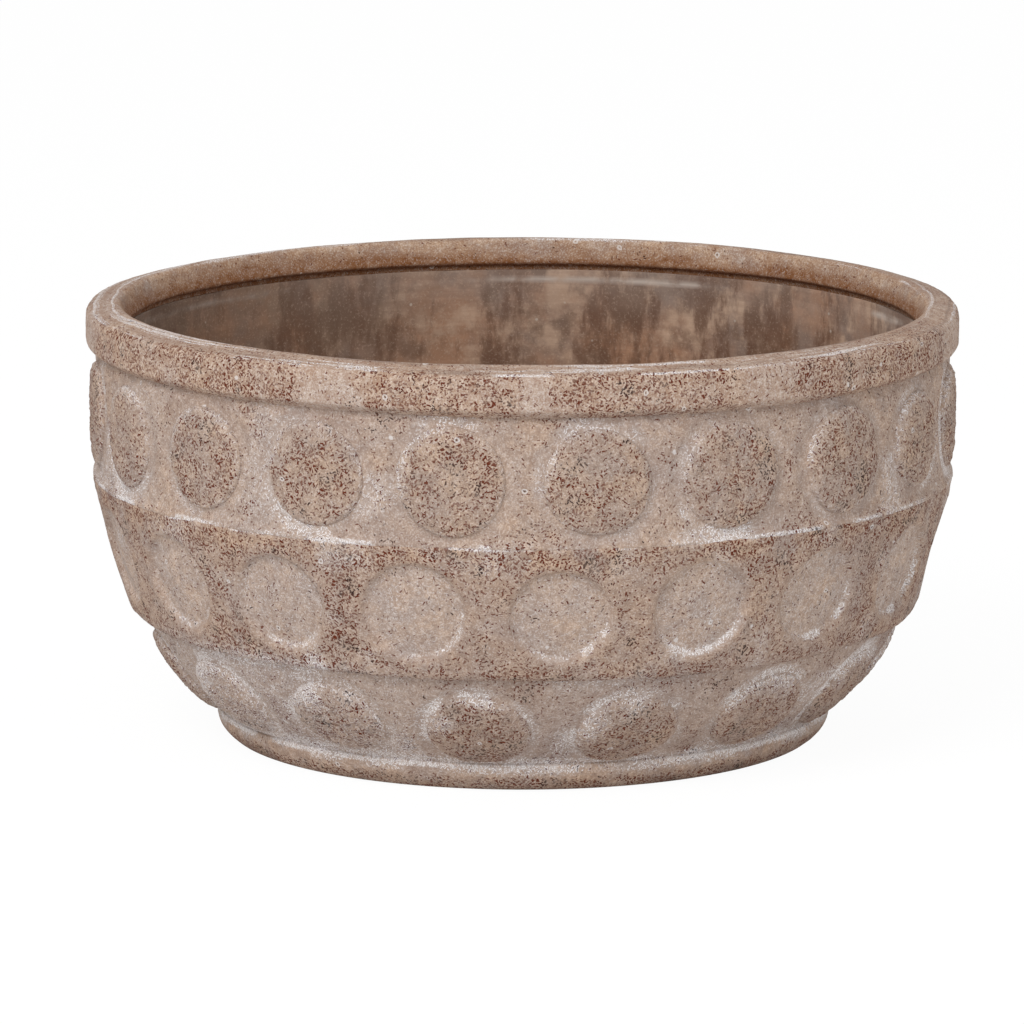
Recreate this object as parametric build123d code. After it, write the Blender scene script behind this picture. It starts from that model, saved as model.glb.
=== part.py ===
from build123d import *
import os

# A ceramic bowl planter, hand built from clay members that are stuck together with slip:
# a floor slab on a foot ring, three wall belts, a rolled rim and round applied discs.
# A waterproof lining coats the inside and a rubber stopper closes the drain hole.
# Millimetres, +Z up, origin at the centre of the circle the foot stands on, front towards -Y.

# Heights of the members, from the ground up
FOOT_HEIGHT = 14.0
LOWER_HEIGHT = 44.0
MIDDLE_HEIGHT = 63.0
UPPER_HEIGHT = 57.0
RIM_HEIGHT = 22.0

# Outside radii of the foot, the lower belt's top and the rim
FOOT_RADIUS = 141.7
LOWER_TOP_RADIUS = 174.8
RIM_RADIUS = 200.0

# Steps between neighbouring outlines
FOOT_BASE_STEP = 6.2
FOOT_TOP_STEP = 1.7
LOWER_OVERHANG = 6.0
MIDDLE_OVERHANG = 5.5
LEDGE_WIDTH = 1.8
RIM_OVERHANG = 4.0
NECK_DEPTH = 3.0

# How far a belt's outline bulges past the straight line between its two edges
LOWER_BULGE = 3.2
MIDDLE_BULGE = 1.2
LOWER_INNER_BULGE = 4.0

# Thicknesses and widths
WALL = 12.0
FLOOR_THICKNESS = 12.0
FOOT_WIDTH = 20.0
FOOT_WIDEST_LEVEL = 8.5
LOWER_SEAT_WIDTH = 10.0
LINING = 1.0
LINING_TOP_GAP = 2.0

# Rolled rim: its inner edge leans in over the wall as a lip
LIP_OVERHANG = 7.5
LIP_SLANT = 4.5
LIP_DEPTH = 11.5
LIP_UNDERCUT = 1.5
NECK_HEIGHT = 4.0
RIM_FLARE_HEIGHT = 4.5

# Rounded corners
RIM_OUTER_ROUND = 4.5
RIM_INNER_ROUND = 3.0
RIM_FLARE_ROUND = 4.0
LIP_ROUND = 1.5
LEDGE_ROUND = 1.5
MIDDLE_FOOT_ROUND = 6.0
LOWER_FOOT_ROUND = 3.0
FOOT_INNER_ROUND = 2.0

# Round decoration: raised discs on the upper and lower belts, shallow dishes between them.
# A drop is how far a row's centres lie below its belt's top, and a start is the angle in
# degrees of its first centre from the front towards +X.
UPPER_DISC_COUNT = 20
UPPER_DISC_RADIUS = 23.7
UPPER_DISC_RISE = 2.8
UPPER_DISC_DROP = 28.0
UPPER_DISC_START = 9.4
DISH_COUNT = 18
DISH_RADIUS = 23.0
DISH_DEPTH = 2.0
DISH_DROP = 31.5
DISH_START = 5.0
LOWER_DISC_COUNT = 16
LOWER_DISC_RADIUS = 23.6
LOWER_DISC_RISE = 2.2
LOWER_DISC_DROP = 23.0
LOWER_DISC_START = -6.1
DISC_ROUND = 1.0

# Drain hole and its rubber stopper
DRAIN_RADIUS = 12.0
STOPPER_CLEARANCE = 0.08
LINING_DRAIN_CLEARANCE = 0.5
HEAD_OVERLAP = 6.0
HEAD_HEIGHT = 4.0
HEAD_ROUND = 1.5
NOSE_REACH = 1.0
NOSE_CHAMFER = 1.5
TAB_LENGTH = 20.0
TAB_THICKNESS = 5.0
TAB_HEIGHT = 13.0
TAB_CORNER = 5.0
TAB_ROUND = 1.5

# Levels that follow from the heights
LOWER_LEVEL = FOOT_HEIGHT
MIDDLE_LEVEL = LOWER_LEVEL + LOWER_HEIGHT
UPPER_LEVEL = MIDDLE_LEVEL + MIDDLE_HEIGHT
RIM_LEVEL = UPPER_LEVEL + UPPER_HEIGHT
TOP_LEVEL = RIM_LEVEL + RIM_HEIGHT
FLOOR_LEVEL = FOOT_HEIGHT + FLOOR_THICKNESS
LIP_LEVEL = TOP_LEVEL - LIP_DEPTH
UNDERCUT_LEVEL = LIP_LEVEL - LIP_UNDERCUT
LINING_TOP = UNDERCUT_LEVEL - LINING_TOP_GAP
LINING_FLOOR = FLOOR_LEVEL + LINING

# Radii that follow from the outlines and the wall
FOOT_BASE_RADIUS = FOOT_RADIUS - FOOT_BASE_STEP
FOOT_TOP_RADIUS = FOOT_RADIUS - FOOT_TOP_STEP
LOWER_BASE_RADIUS = FOOT_TOP_RADIUS + LOWER_OVERHANG
FLOOR_RADIUS = FOOT_TOP_RADIUS - LOWER_SEAT_WIDTH
MIDDLE_BASE_RADIUS = LOWER_TOP_RADIUS + MIDDLE_OVERHANG
MIDDLE_INNER_RADIUS = LOWER_TOP_RADIUS - WALL
UPPER_RADIUS = RIM_RADIUS - RIM_OVERHANG
UPPER_INNER_RADIUS = UPPER_RADIUS - WALL
MIDDLE_TOP_RADIUS = UPPER_RADIUS + LEDGE_WIDTH
NECK_RADIUS = UPPER_RADIUS - NECK_DEPTH
LIP_RADIUS = UPPER_INNER_RADIUS - LIP_OVERHANG
RIM_TOP_INNER_RADIUS = LIP_RADIUS + LIP_SLANT

# Spare lengths by which cutting and trimming solids run past what they meet, the angle
# that turns +X to the front, and the gap under which two points count as one
PAST = 8.0
POST_LENGTH = 30.0
FRONT = 90.0
SAME_POINT = 1e-6
STANDING = (Align.CENTER, Align.CENTER, Align.MIN)


def square_to(start, end):
    """The direction square to the line from start up to end, pointing away from the axis."""
    return Vector(end[1] - start[1], start[0] - end[0]).normalized()


def belt(start, end, bulge, push=0.0):
    """A belt's outline: an arc from start up to end, pushed out square to its chord."""
    out = square_to(start, end)
    middle = ((start[0] + end[0]) / 2 + out.X * bulge, (start[1] + end[1]) / 2 + out.Y * bulge)
    points = [(radius + out.X * push, level + out.Y * push) for radius, level in (start, middle, end)]
    return ThreePointArc(*points)


def lower_outline(push=0.0):
    """Outside of the lower belt."""
    start = (LOWER_BASE_RADIUS, LOWER_LEVEL)
    end = (LOWER_TOP_RADIUS, MIDDLE_LEVEL)
    return belt(start, end, LOWER_BULGE, push)


def middle_outline(push=0.0):
    """Outside of the middle belt."""
    start = (MIDDLE_BASE_RADIUS, MIDDLE_LEVEL)
    end = (MIDDLE_TOP_RADIUS, UPPER_LEVEL)
    return belt(start, end, MIDDLE_BULGE, push)


def upper_outline(push=0.0):
    """Outside of the upper belt, which stands upright up to the neck under the rim."""
    radius = UPPER_RADIUS + push
    return Line((radius, UPPER_LEVEL), (radius, RIM_LEVEL - NECK_HEIGHT))


def lower_inside(inset=0.0):
    """Inside of the lower belt above the floor, moved in by the inset."""
    start = (FLOOR_RADIUS - inset, FLOOR_LEVEL + inset)
    end = (MIDDLE_INNER_RADIUS - inset, MIDDLE_LEVEL)
    return belt(start, end, LOWER_INNER_BULGE)


def middle_inside(inset=0.0):
    """Inside of the middle belt, moved in by the inset."""
    start = (MIDDLE_INNER_RADIUS - inset, MIDDLE_LEVEL)
    end = (UPPER_INNER_RADIUS - inset, UPPER_LEVEL)
    return belt(start, end, MIDDLE_BULGE)


def outline_of(*pieces):
    """A closed face in radius and height, from curves and corner points joined by lines."""
    firsts = [piece @ 0 if isinstance(piece, Edge) else Vector(*piece) for piece in pieces]
    lasts = [piece @ 1 if isinstance(piece, Edge) else Vector(*piece) for piece in pieces]
    edges = [piece for piece in pieces if isinstance(piece, Edge)]
    for last, first in zip(lasts, firsts[1:] + firsts[:1]):
        if (first - last).length > SAME_POINT:
            edges.append(Line(last, first))
    return make_face(Wire(edges))


def rounded(outline, *corners):
    """The face with some corners rounded, each given as a point and a radius."""
    for point, radius in corners:
        vertex = outline.vertices().sort_by_distance(Vector(*point))[0]
        outline = fillet(vertex, radius)
    return outline


def turned(outline):
    """The solid that a face in radius and height sweeps once round the upright axis."""
    return revolve(Plane.XZ * outline, Axis.Z)


def around(shape, count, start):
    """Copies of a shape made at +X, spaced evenly round the axis from the start angle."""
    return [Rot(0, 0, start - FRONT + 360 * turn / count) * shape for turn in range(count)]


def band(outline, low, high):
    """A thin ring that follows a belt's outline, from low to high measured square to it."""
    return turned(outline_of(outline(low), outline(high).reversed()))


def post(outline, drop, radius):
    """A long cylinder square to a belt's chord, centred at the drop below the belt's top."""
    curve = outline()
    low = curve @ 0
    high = curve @ 1
    centre = curve @ (1 - drop / (high.Y - low.Y))
    out = square_to((low.X, low.Y), (high.X, high.Y))
    seat = Plane(origin=(centre.X, 0, centre.Y), z_dir=(out.X, 0, out.Y))
    return seat * Cylinder(radius, POST_LENGTH)


def raised_disc(outline, drop, radius, rise):
    """One applied disc: a round pat of clay that follows its belt, with a softened edge."""
    disc = (band(outline, 0, rise) & post(outline, drop, radius)).solid()
    face = max(disc.faces(), key=lambda each: each.center().X)
    return fillet(face.edges(), DISC_ROUND)


def dish(outline, drop, radius):
    """What one shallow dish takes out of its belt: a round with a floor that follows the belt."""
    return band(outline, -DISH_DEPTH, PAST) & post(outline, drop, radius)


def foot_ring():
    """The ring the planter stands on, flat below and rounded outside."""
    base = (FOOT_BASE_RADIUS, 0)
    widest = (FOOT_RADIUS, FOOT_WIDEST_LEVEL)
    top = (FOOT_TOP_RADIUS, FOOT_HEIGHT)
    inner = FOOT_BASE_RADIUS - FOOT_WIDTH
    outline = outline_of(ThreePointArc(base, widest, top), (inner, FOOT_HEIGHT), (inner, 0))
    return turned(rounded(outline, ((inner, 0), FOOT_INNER_ROUND)))


def bowl_floor():
    """The slab that closes the bottom, inside the lower belt, with its drain hole."""
    slab = Cylinder(FLOOR_RADIUS, FLOOR_THICKNESS, align=STANDING)
    hole = Cylinder(DRAIN_RADIUS, FLOOR_THICKNESS, align=STANDING)
    return Pos(0, 0, FOOT_HEIGHT) * (slab - hole)


def lower_wall():
    """The lowest belt, which flares from the foot and holds the floor slab."""
    inside = lower_inside().reversed()
    outline = outline_of(lower_outline(), inside, (FLOOR_RADIUS, LOWER_LEVEL))
    return turned(rounded(outline, ((LOWER_BASE_RADIUS, LOWER_LEVEL), LOWER_FOOT_ROUND)))


def middle_wall():
    """The middle belt, which overhangs the lower one and carries the row of dishes."""
    outline = outline_of(middle_outline(), middle_inside().reversed())
    base = ((MIDDLE_BASE_RADIUS, MIDDLE_LEVEL), MIDDLE_FOOT_ROUND)
    ledge = ((MIDDLE_TOP_RADIUS, UPPER_LEVEL), LEDGE_ROUND)
    wall = turned(rounded(outline, base, ledge))
    hollow = dish(middle_outline, DISH_DROP, DISH_RADIUS)
    return wall - around(hollow, DISH_COUNT, DISH_START)


def upper_wall():
    """The upright belt behind the upper discs, drawn in to a neck under the rim."""
    neck = (NECK_RADIUS, RIM_LEVEL)
    inner_top = (UPPER_INNER_RADIUS, RIM_LEVEL)
    inner_base = (UPPER_INNER_RADIUS, UPPER_LEVEL)
    return turned(outline_of(upper_outline(), neck, inner_top, inner_base))


def rim():
    """The thick rolled rim, with a flat top and a lip that leans in over the wall."""
    neck = (NECK_RADIUS, RIM_LEVEL)
    flare = (RIM_RADIUS, RIM_LEVEL + RIM_FLARE_HEIGHT)
    outer_top = (RIM_RADIUS, TOP_LEVEL)
    inner_top = (RIM_TOP_INNER_RADIUS, TOP_LEVEL)
    lip = (LIP_RADIUS, LIP_LEVEL)
    undercut = (UPPER_INNER_RADIUS, UNDERCUT_LEVEL)
    seat = (UPPER_INNER_RADIUS, RIM_LEVEL)
    outline = outline_of(neck, flare, outer_top, inner_top, lip, undercut, seat)
    outer_rounds = ((flare, RIM_FLARE_ROUND), (outer_top, RIM_OUTER_ROUND))
    inner_rounds = ((inner_top, RIM_INNER_ROUND), (lip, LIP_ROUND))
    return turned(rounded(outline, *outer_rounds, *inner_rounds))


def upper_discs():
    """The row of raised discs on the upper belt."""
    disc = raised_disc(upper_outline, UPPER_DISC_DROP - NECK_HEIGHT, UPPER_DISC_RADIUS, UPPER_DISC_RISE)
    return around(disc, UPPER_DISC_COUNT, UPPER_DISC_START)


def lower_discs():
    """The row of raised discs on the lower belt."""
    disc = raised_disc(lower_outline, LOWER_DISC_DROP, LOWER_DISC_RADIUS, LOWER_DISC_RISE)
    return around(disc, LOWER_DISC_COUNT, LOWER_DISC_START)


def inner_lining():
    """The waterproof coat inside, from the drain hole over the floor and up to below the lip."""
    hole = DRAIN_RADIUS + LINING_DRAIN_CLEARANCE
    top_inner = (UPPER_INNER_RADIUS - LINING, LINING_TOP)
    top_outer = (UPPER_INNER_RADIUS, LINING_TOP)
    outer = (top_outer, middle_inside().reversed(), lower_inside().reversed(), (hole, FLOOR_LEVEL))
    inner = ((hole, LINING_FLOOR), lower_inside(LINING), middle_inside(LINING), top_inner)
    return turned(outline_of(*outer, *inner))


def drain_stopper():
    """The rubber stopper: a stem in the drain hole, a head on the lining and a finger tab."""
    nose_level = FOOT_HEIGHT - NOSE_REACH
    stem_length = LINING_FLOOR - nose_level
    stem = Pos(0, 0, nose_level) * Cylinder(DRAIN_RADIUS - STOPPER_CLEARANCE, stem_length, align=STANDING)
    stem = chamfer(stem.edges().sort_by(Axis.Z)[0], NOSE_CHAMFER)
    head = Pos(0, 0, LINING_FLOOR) * Cylinder(DRAIN_RADIUS + HEAD_OVERLAP, HEAD_HEIGHT, align=STANDING)
    head = fillet(head.edges().sort_by(Axis.Z)[-1], HEAD_ROUND)
    tab_level = LINING_FLOOR + HEAD_HEIGHT
    tab = Pos(0, 0, tab_level) * Box(TAB_LENGTH, TAB_THICKNESS, TAB_HEIGHT, align=STANDING)
    tab = fillet(tab.edges().filter_by(Axis.Y).group_by(Axis.Z)[-1], TAB_CORNER)
    sides = tab.faces().sort_by(Axis.Y)
    tab = fillet(sides[0].edges() + sides[-1].edges(), TAB_ROUND)
    return stem + head + tab


def write(name, solids):
    """Write one node: a single solid, or a group of like ones, under the node's own name."""
    whole = Compound(children=solids) if isinstance(solids, list) else solids
    whole.label = name
    export_step(whole, f"parts/{name}.step")
    print(name, len(whole.solids()), "solids,", round(whole.volume / 1000, 1), "cubic centimetres")


NODES = (
    foot_ring,
    bowl_floor,
    lower_wall,
    middle_wall,
    upper_wall,
    rim,
    upper_discs,
    lower_discs,
    inner_lining,
    drain_stopper,
)

os.makedirs("parts", exist_ok=True)
for node in NODES:
    write(node.__name__, node())
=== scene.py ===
# %% [markdown]
# # A ceramic bowl planter, one member at a time
# The bowl is hand built: a floor slab on a foot ring, three wall belts, a rolled rim and two rows of
# round clay pats, with a row of shallow dishes pressed in between. A pale wash was brushed on and
# wiped off again, so the hollows are pale and the high, gritty places show dark clay.
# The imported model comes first. It fixes every size, and each piece made here takes the place of the
# node with its name.

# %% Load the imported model
from math import cos, pi, radians, sin, tau

import bpy
import numpy as np
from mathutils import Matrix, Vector


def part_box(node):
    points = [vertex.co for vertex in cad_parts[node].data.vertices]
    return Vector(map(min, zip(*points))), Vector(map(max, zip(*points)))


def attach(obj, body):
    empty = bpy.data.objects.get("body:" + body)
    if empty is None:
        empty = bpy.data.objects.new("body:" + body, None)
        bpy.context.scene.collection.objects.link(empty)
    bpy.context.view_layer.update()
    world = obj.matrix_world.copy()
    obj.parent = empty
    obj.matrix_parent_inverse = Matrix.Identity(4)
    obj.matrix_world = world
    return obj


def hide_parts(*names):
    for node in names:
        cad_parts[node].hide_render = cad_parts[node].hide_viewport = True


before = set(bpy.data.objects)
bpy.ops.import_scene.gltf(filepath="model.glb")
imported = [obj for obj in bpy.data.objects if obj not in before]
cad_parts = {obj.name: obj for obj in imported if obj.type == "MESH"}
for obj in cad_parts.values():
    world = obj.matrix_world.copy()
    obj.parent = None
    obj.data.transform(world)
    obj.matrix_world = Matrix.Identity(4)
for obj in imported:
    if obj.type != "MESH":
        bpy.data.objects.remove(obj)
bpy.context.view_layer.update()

# %% [markdown]
# ## Sizes
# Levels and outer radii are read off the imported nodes. What a box can't tell, such as the bulge of a
# belt or how far it stands over the one below, is a named value here, in metres.

# %% Levels and radii
MM = 0.001
lower_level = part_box("lower_wall")[0].z
middle_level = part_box("middle_wall")[0].z
upper_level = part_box("upper_wall")[0].z
rim_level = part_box("rim")[0].z
top_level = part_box("rim")[1].z
floor_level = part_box("bowl_floor")[1].z
lining_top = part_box("inner_lining")[1].z

foot_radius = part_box("foot_ring")[1].x
lower_top_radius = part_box("lower_wall")[1].x
rim_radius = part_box("rim")[1].x
floor_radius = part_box("bowl_floor")[1].x

WALL = 12 * MM
FOOT_WIDTH = 20 * MM
FOOT_BASE_STEP = 6.2 * MM
FOOT_TOP_STEP = 1.7 * MM
LOWER_OVERHANG = 0.5 * MM
MIDDLE_OVERHANG = 5.5 * MM
LEDGE_WIDTH = 1.8 * MM
RIM_OVERHANG = 4.0 * MM
NECK_DEPTH = 1.6 * MM
NECK_HEIGHT = 4.0 * MM
LOWER_BULGE = 4.5 * MM
MIDDLE_BULGE = 1.2 * MM
LOWER_INNER_BULGE = 4.0 * MM
LIP_OVERHANG = 3.8 * MM
LIP_SLANT = 4.5 * MM
LIP_DEPTH = 11.5 * MM
LIP_UNDERCUT = 1.5 * MM
RIM_FLARE_HEIGHT = 3.3 * MM
LINING = 1.0 * MM
DRAIN_RADIUS = 12 * MM
LINING_DRAIN_CLEARANCE = 0.5 * MM

foot_base_radius = foot_radius - FOOT_BASE_STEP
foot_top_radius = foot_radius - FOOT_TOP_STEP
lower_base_radius = foot_top_radius + LOWER_OVERHANG
middle_base_radius = lower_top_radius + MIDDLE_OVERHANG
middle_inner_radius = lower_top_radius - WALL
upper_radius = rim_radius - RIM_OVERHANG
upper_inner_radius = upper_radius - WALL
middle_top_radius = upper_radius + LEDGE_WIDTH
neck_radius = upper_radius - NECK_DEPTH
neck_level = rim_level - NECK_HEIGHT
lip_radius = upper_inner_radius - LIP_OVERHANG
rim_top_inner_radius = lip_radius + LIP_SLANT
lip_level = top_level - LIP_DEPTH
undercut_level = lip_level - LIP_UNDERCUT
print("The bowl is", round(2 * rim_radius, 3), "m across and", round(top_level, 3), "m high.")

# %% [markdown]
# ## Soft steps and random fields
# Hand-built clay is never even. Two helpers give that: an S curve that fades one thing into another,
# and a random field that closes round the bowl, so that no seam shows at the back.

# %% Helpers for fading and unevenness
def fade(low, high, value):
    """0 below low and 1 above high, joined by the S curve 3t^2 - 2t^3."""
    t = np.clip((value - low) / (high - low), 0, 1)
    return t * t * (3 - 2 * t)


def bell(middle, width, value):
    """1 at the middle, falling to 0 at a width away on both sides, along the S curve."""
    return 1 - fade(0, width, np.abs(value - middle))


def apart(turn, degrees):
    """Degrees round the bowl from a direction, between -180 and 180."""
    return (360 * turn - degrees + 180) % 360 - 180


def field(turn, along, girth, cell, seed):
    """A random field from -1 to 1 with soft lumps. The cell is their size round the axis and upwards.

    Random numbers sit on a lattice that closes round the axis. A point blends the four numbers round
    it, with S-curve weights in both directions.
    """
    across = max(3, round(girth / cell[0]))
    u = np.asarray(turn) * across
    v = (np.asarray(along) - np.min(along)) / cell[1]
    column = np.floor(u).astype(int)
    row = np.floor(v).astype(int)
    numbers = np.random.default_rng(seed).uniform(-1, 1, (across, int(row.max()) + 2))
    right = fade(0, 1, u - column)
    up = fade(0, 1, v - row)
    low = numbers[column % across, row] * (1 - right) + numbers[(column + 1) % across, row] * right
    high = numbers[column % across, row + 1] * (1 - right) + numbers[(column + 1) % across, row + 1] * right
    return low * (1 - up) + high * up


print("A fade from 0 to 1 passes a quarter of the way at", float(fade(0, 1, 0.25)))

# %% [markdown]
# ## Outlines
# Every member is a ring, so it starts as a closed outline in radius and height. An outline is a list
# of corners. Each corner has a rounding, and a spacing for the points on the straight that follows
# it: about a millimetre where the face shows, and coarse where another member covers it.

# %% Closed outlines with rounded corners
FINE = 1.1 * MM
EDGE = 0.7 * MM
COARSE = 5 * MM
LAP = 1.5 * MM


def arched(start, end, bulge, spacing, parts=12):
    """Corners along a belt's side: the line from start to end, pushed out by bulge * 4t(1-t)."""
    a = np.array(start)
    b = np.array(end)
    out = np.array([b[1] - a[1], a[0] - b[0]]) / np.linalg.norm(b - a)
    t = np.linspace(0, 1, parts + 1)[:, None]
    line = a + (b - a) * t + out * bulge * 4 * t * (1 - t)
    return [(radius, height, 0, spacing) for radius, height in line]


def rounded_loop(corners):
    """Points round a closed outline. Each corner is (radius, height, rounding, spacing).

    A corner is cut back along both its sides by rounding / tan(half its angle), and the quadratic
    curve (1-t)^2 A + 2t(1-t) P + t^2 B joins the cut ends A and B past the corner P.
    """
    table = np.array(corners, float)
    place = table[:, :2]
    ahead = np.roll(place, -1, axis=0) - place
    ahead /= np.linalg.norm(ahead, axis=1)[:, None]
    behind = -np.roll(ahead, 1, axis=0)
    half_angle = np.arccos(np.clip((ahead * behind).sum(axis=1), -1, 1)) / 2
    cut = (table[:, 2] / np.tan(half_angle))[:, None]
    start = place + behind * cut
    end = place + ahead * cut
    points = []
    for k, corner in enumerate(place):
        if table[k, 2] > 0:
            count = max(3, round(table[k, 2] * (pi - 2 * half_angle[k]) / EDGE))
            t = (np.arange(count) / count)[:, None]
            points.append((1 - t) ** 2 * start[k] + 2 * t * (1 - t) * corner + t**2 * end[k])
        target = start[(k + 1) % len(place)]
        count = max(1, round(np.linalg.norm(target - end[k]) / table[k, 3]))
        t = (np.arange(count) / count)[:, None]
        points.append(end[k] + (target - end[k]) * t)
    return np.concatenate(points)


square = [(0, 0, 2 * MM, EDGE), (WALL, 0, 2 * MM, EDGE), (WALL, WALL, 2 * MM, EDGE), (0, WALL, 2 * MM, EDGE)]
print("A square with rounded corners, as wide as the wall, gets", len(rounded_loop(square)), "points.")

# %% [markdown]
# ## From outline to mesh
# The outline is carried once round the axis. Every point can be moved along the outline's own normal
# by a relief, which is worked out for the whole grid at once.

# %% Ring surfaces
class Ring:
    """A grid of points: columns round the axis, starting at the front, and rows round an outline."""

    def __init__(self, corners, columns):
        self.outline = rounded_loop(corners)
        step = np.roll(self.outline, -1, axis=0) - np.roll(self.outline, 1, axis=0)
        step /= np.linalg.norm(step, axis=1)[:, None]
        gaps = np.linalg.norm(np.diff(self.outline, axis=0), axis=1)
        self.turn = (np.arange(columns) / columns)[:, None]
        self.degrees = apart(self.turn, 0)
        self.radius = self.outline[:, 0][None, :]
        self.height = self.outline[:, 1][None, :]
        self.out = step[:, 1][None, :]
        self.rise = -step[:, 0][None, :]
        self.along = np.concatenate([[0], np.cumsum(gaps)])[None, :]
        self.shape = (columns, len(self.outline))

    def lumps(self, cell, seed, rows_cell=None):
        """A random field over this ring. The cell is the lumps' size, and the seed picks the draw."""
        girth = tau * float(self.radius.max())
        return field(self.turn, self.along, girth, (cell, rows_cell or cell), seed)

    def points(self, relief):
        """Places of all vertices: (r sin a, -r cos a, z), moved out by the relief along the normal."""
        radius = self.radius + self.out * relief
        height = self.height + self.rise * relief
        angle = tau * self.turn
        return np.stack([radius * np.sin(angle), -radius * np.cos(angle), height + 0 * angle], axis=-1)


hoop = Ring(square, columns=4)
print("A ring of 4 columns over that square has", hoop.shape[1], "points in each.")

# %% [markdown]
# ## From points to objects
# Clay leans and warps a little as it dries. The whole bowl does so together, so one function moves the
# points of every member. Each mesh carries four values per vertex for its finish: how many dark flecks,
# how much white, how warm, and how grimy or shaded the clay is there. The white is wash, in places
# mixed with a painted highlight. The grime value also carries painted shade under the rim's lip and
# on the left of the coat inside.

# %% Meshes and their finish
LEAN = 0.5 * MM
WARP = 0.35 * MM


def settled(points):
    """The lean and warp from drying: height falls by (lean x + warp r sin 2a) (z / top)^1.5 / rim."""
    x, y, z = points[..., 0], points[..., 1], points[..., 2]
    across = np.hypot(x, y)
    drop = LEAN * x + WARP * across * np.sin(2 * np.arctan2(x, -y))
    moved = points.copy()
    moved[..., 2] = z - drop / rim_radius * (np.maximum(z, 0) / top_level) ** 1.5
    return moved


def grid_faces(columns, rows):
    """Corner numbers of the faces of a grid that closes both ways, outside in front."""
    c, r = np.meshgrid(np.arange(columns), np.arange(rows), indexing="ij")
    right = (c + 1) % columns
    up = (r + 1) % rows
    corners = np.stack([c * rows + r, right * rows + r, right * rows + up, c * rows + up], axis=-1)
    return corners.reshape(-1, 4)


def mesh_object(name, points, faces, finish):
    """An object at the origin with smooth faces and four finish values per vertex."""
    mesh = bpy.data.meshes.new(name)
    sizes = np.concatenate([np.full(len(part), part.shape[1]) for part in faces])
    corners = np.concatenate([part.ravel() for part in faces]).astype(np.int32)
    mesh.vertices.add(points.size // 3)
    mesh.vertices.foreach_set("co", points.astype(np.float32).ravel())
    mesh.loops.add(len(corners))
    mesh.loops.foreach_set("vertex_index", corners)
    mesh.polygons.add(len(sizes))
    mesh.polygons.foreach_set("loop_start", (np.cumsum(sizes) - sizes).astype(np.int32))
    mesh.polygons.foreach_set("use_smooth", np.ones(len(sizes), dtype=bool))
    values = mesh.attributes.new("finish", "FLOAT_COLOR", "POINT")
    values.data.foreach_set("color", finish.astype(np.float32).ravel())
    mesh.update(calc_edges=True)
    mesh.validate()
    made = bpy.data.objects.new(name, mesh)
    bpy.context.scene.collection.objects.link(made)
    print(name, "has", len(mesh.vertices), "vertices and", int((sizes - 2).sum()), "triangles.")
    return made


def finish_values(shape, fleck=0.0, white=0.0, warm=0.0, grime_and_shade=0.0):
    """The four finish values on a grid, each held between 0 and 1."""
    layers = [np.clip(np.broadcast_to(layer, shape), 0, 1) for layer in (fleck, white, warm, grime_and_shade)]
    return np.stack(layers, axis=-1)


def ring_object(name, ring, relief, finish):
    """The mesh of a ring with its relief and its finish."""
    points = settled(ring.points(np.broadcast_to(relief, ring.shape)))
    return mesh_object(name, points, [grid_faces(*ring.shape)], finish)


def settle_in(made, node, material, body="pot"):
    """The piece stands for the node, rides on its body and has the node's finish."""
    made.data.materials.append(material)
    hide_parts(node)
    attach(made, body)


print("A grid of 4 columns and 3 rows that closes both ways has", len(grid_faces(4, 3)), "faces.")

# %% [markdown]
# ## Rows of rounds
# The same row is needed twice: the wall has a pale moat round every pat, and the pat itself sits in
# it. So a row is one object that knows where its rounds are and how uneven each one is. It measures,
# for every point of a wall, how far the edge of the nearest round is. It also lays flat places on
# the curved belt.

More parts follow.
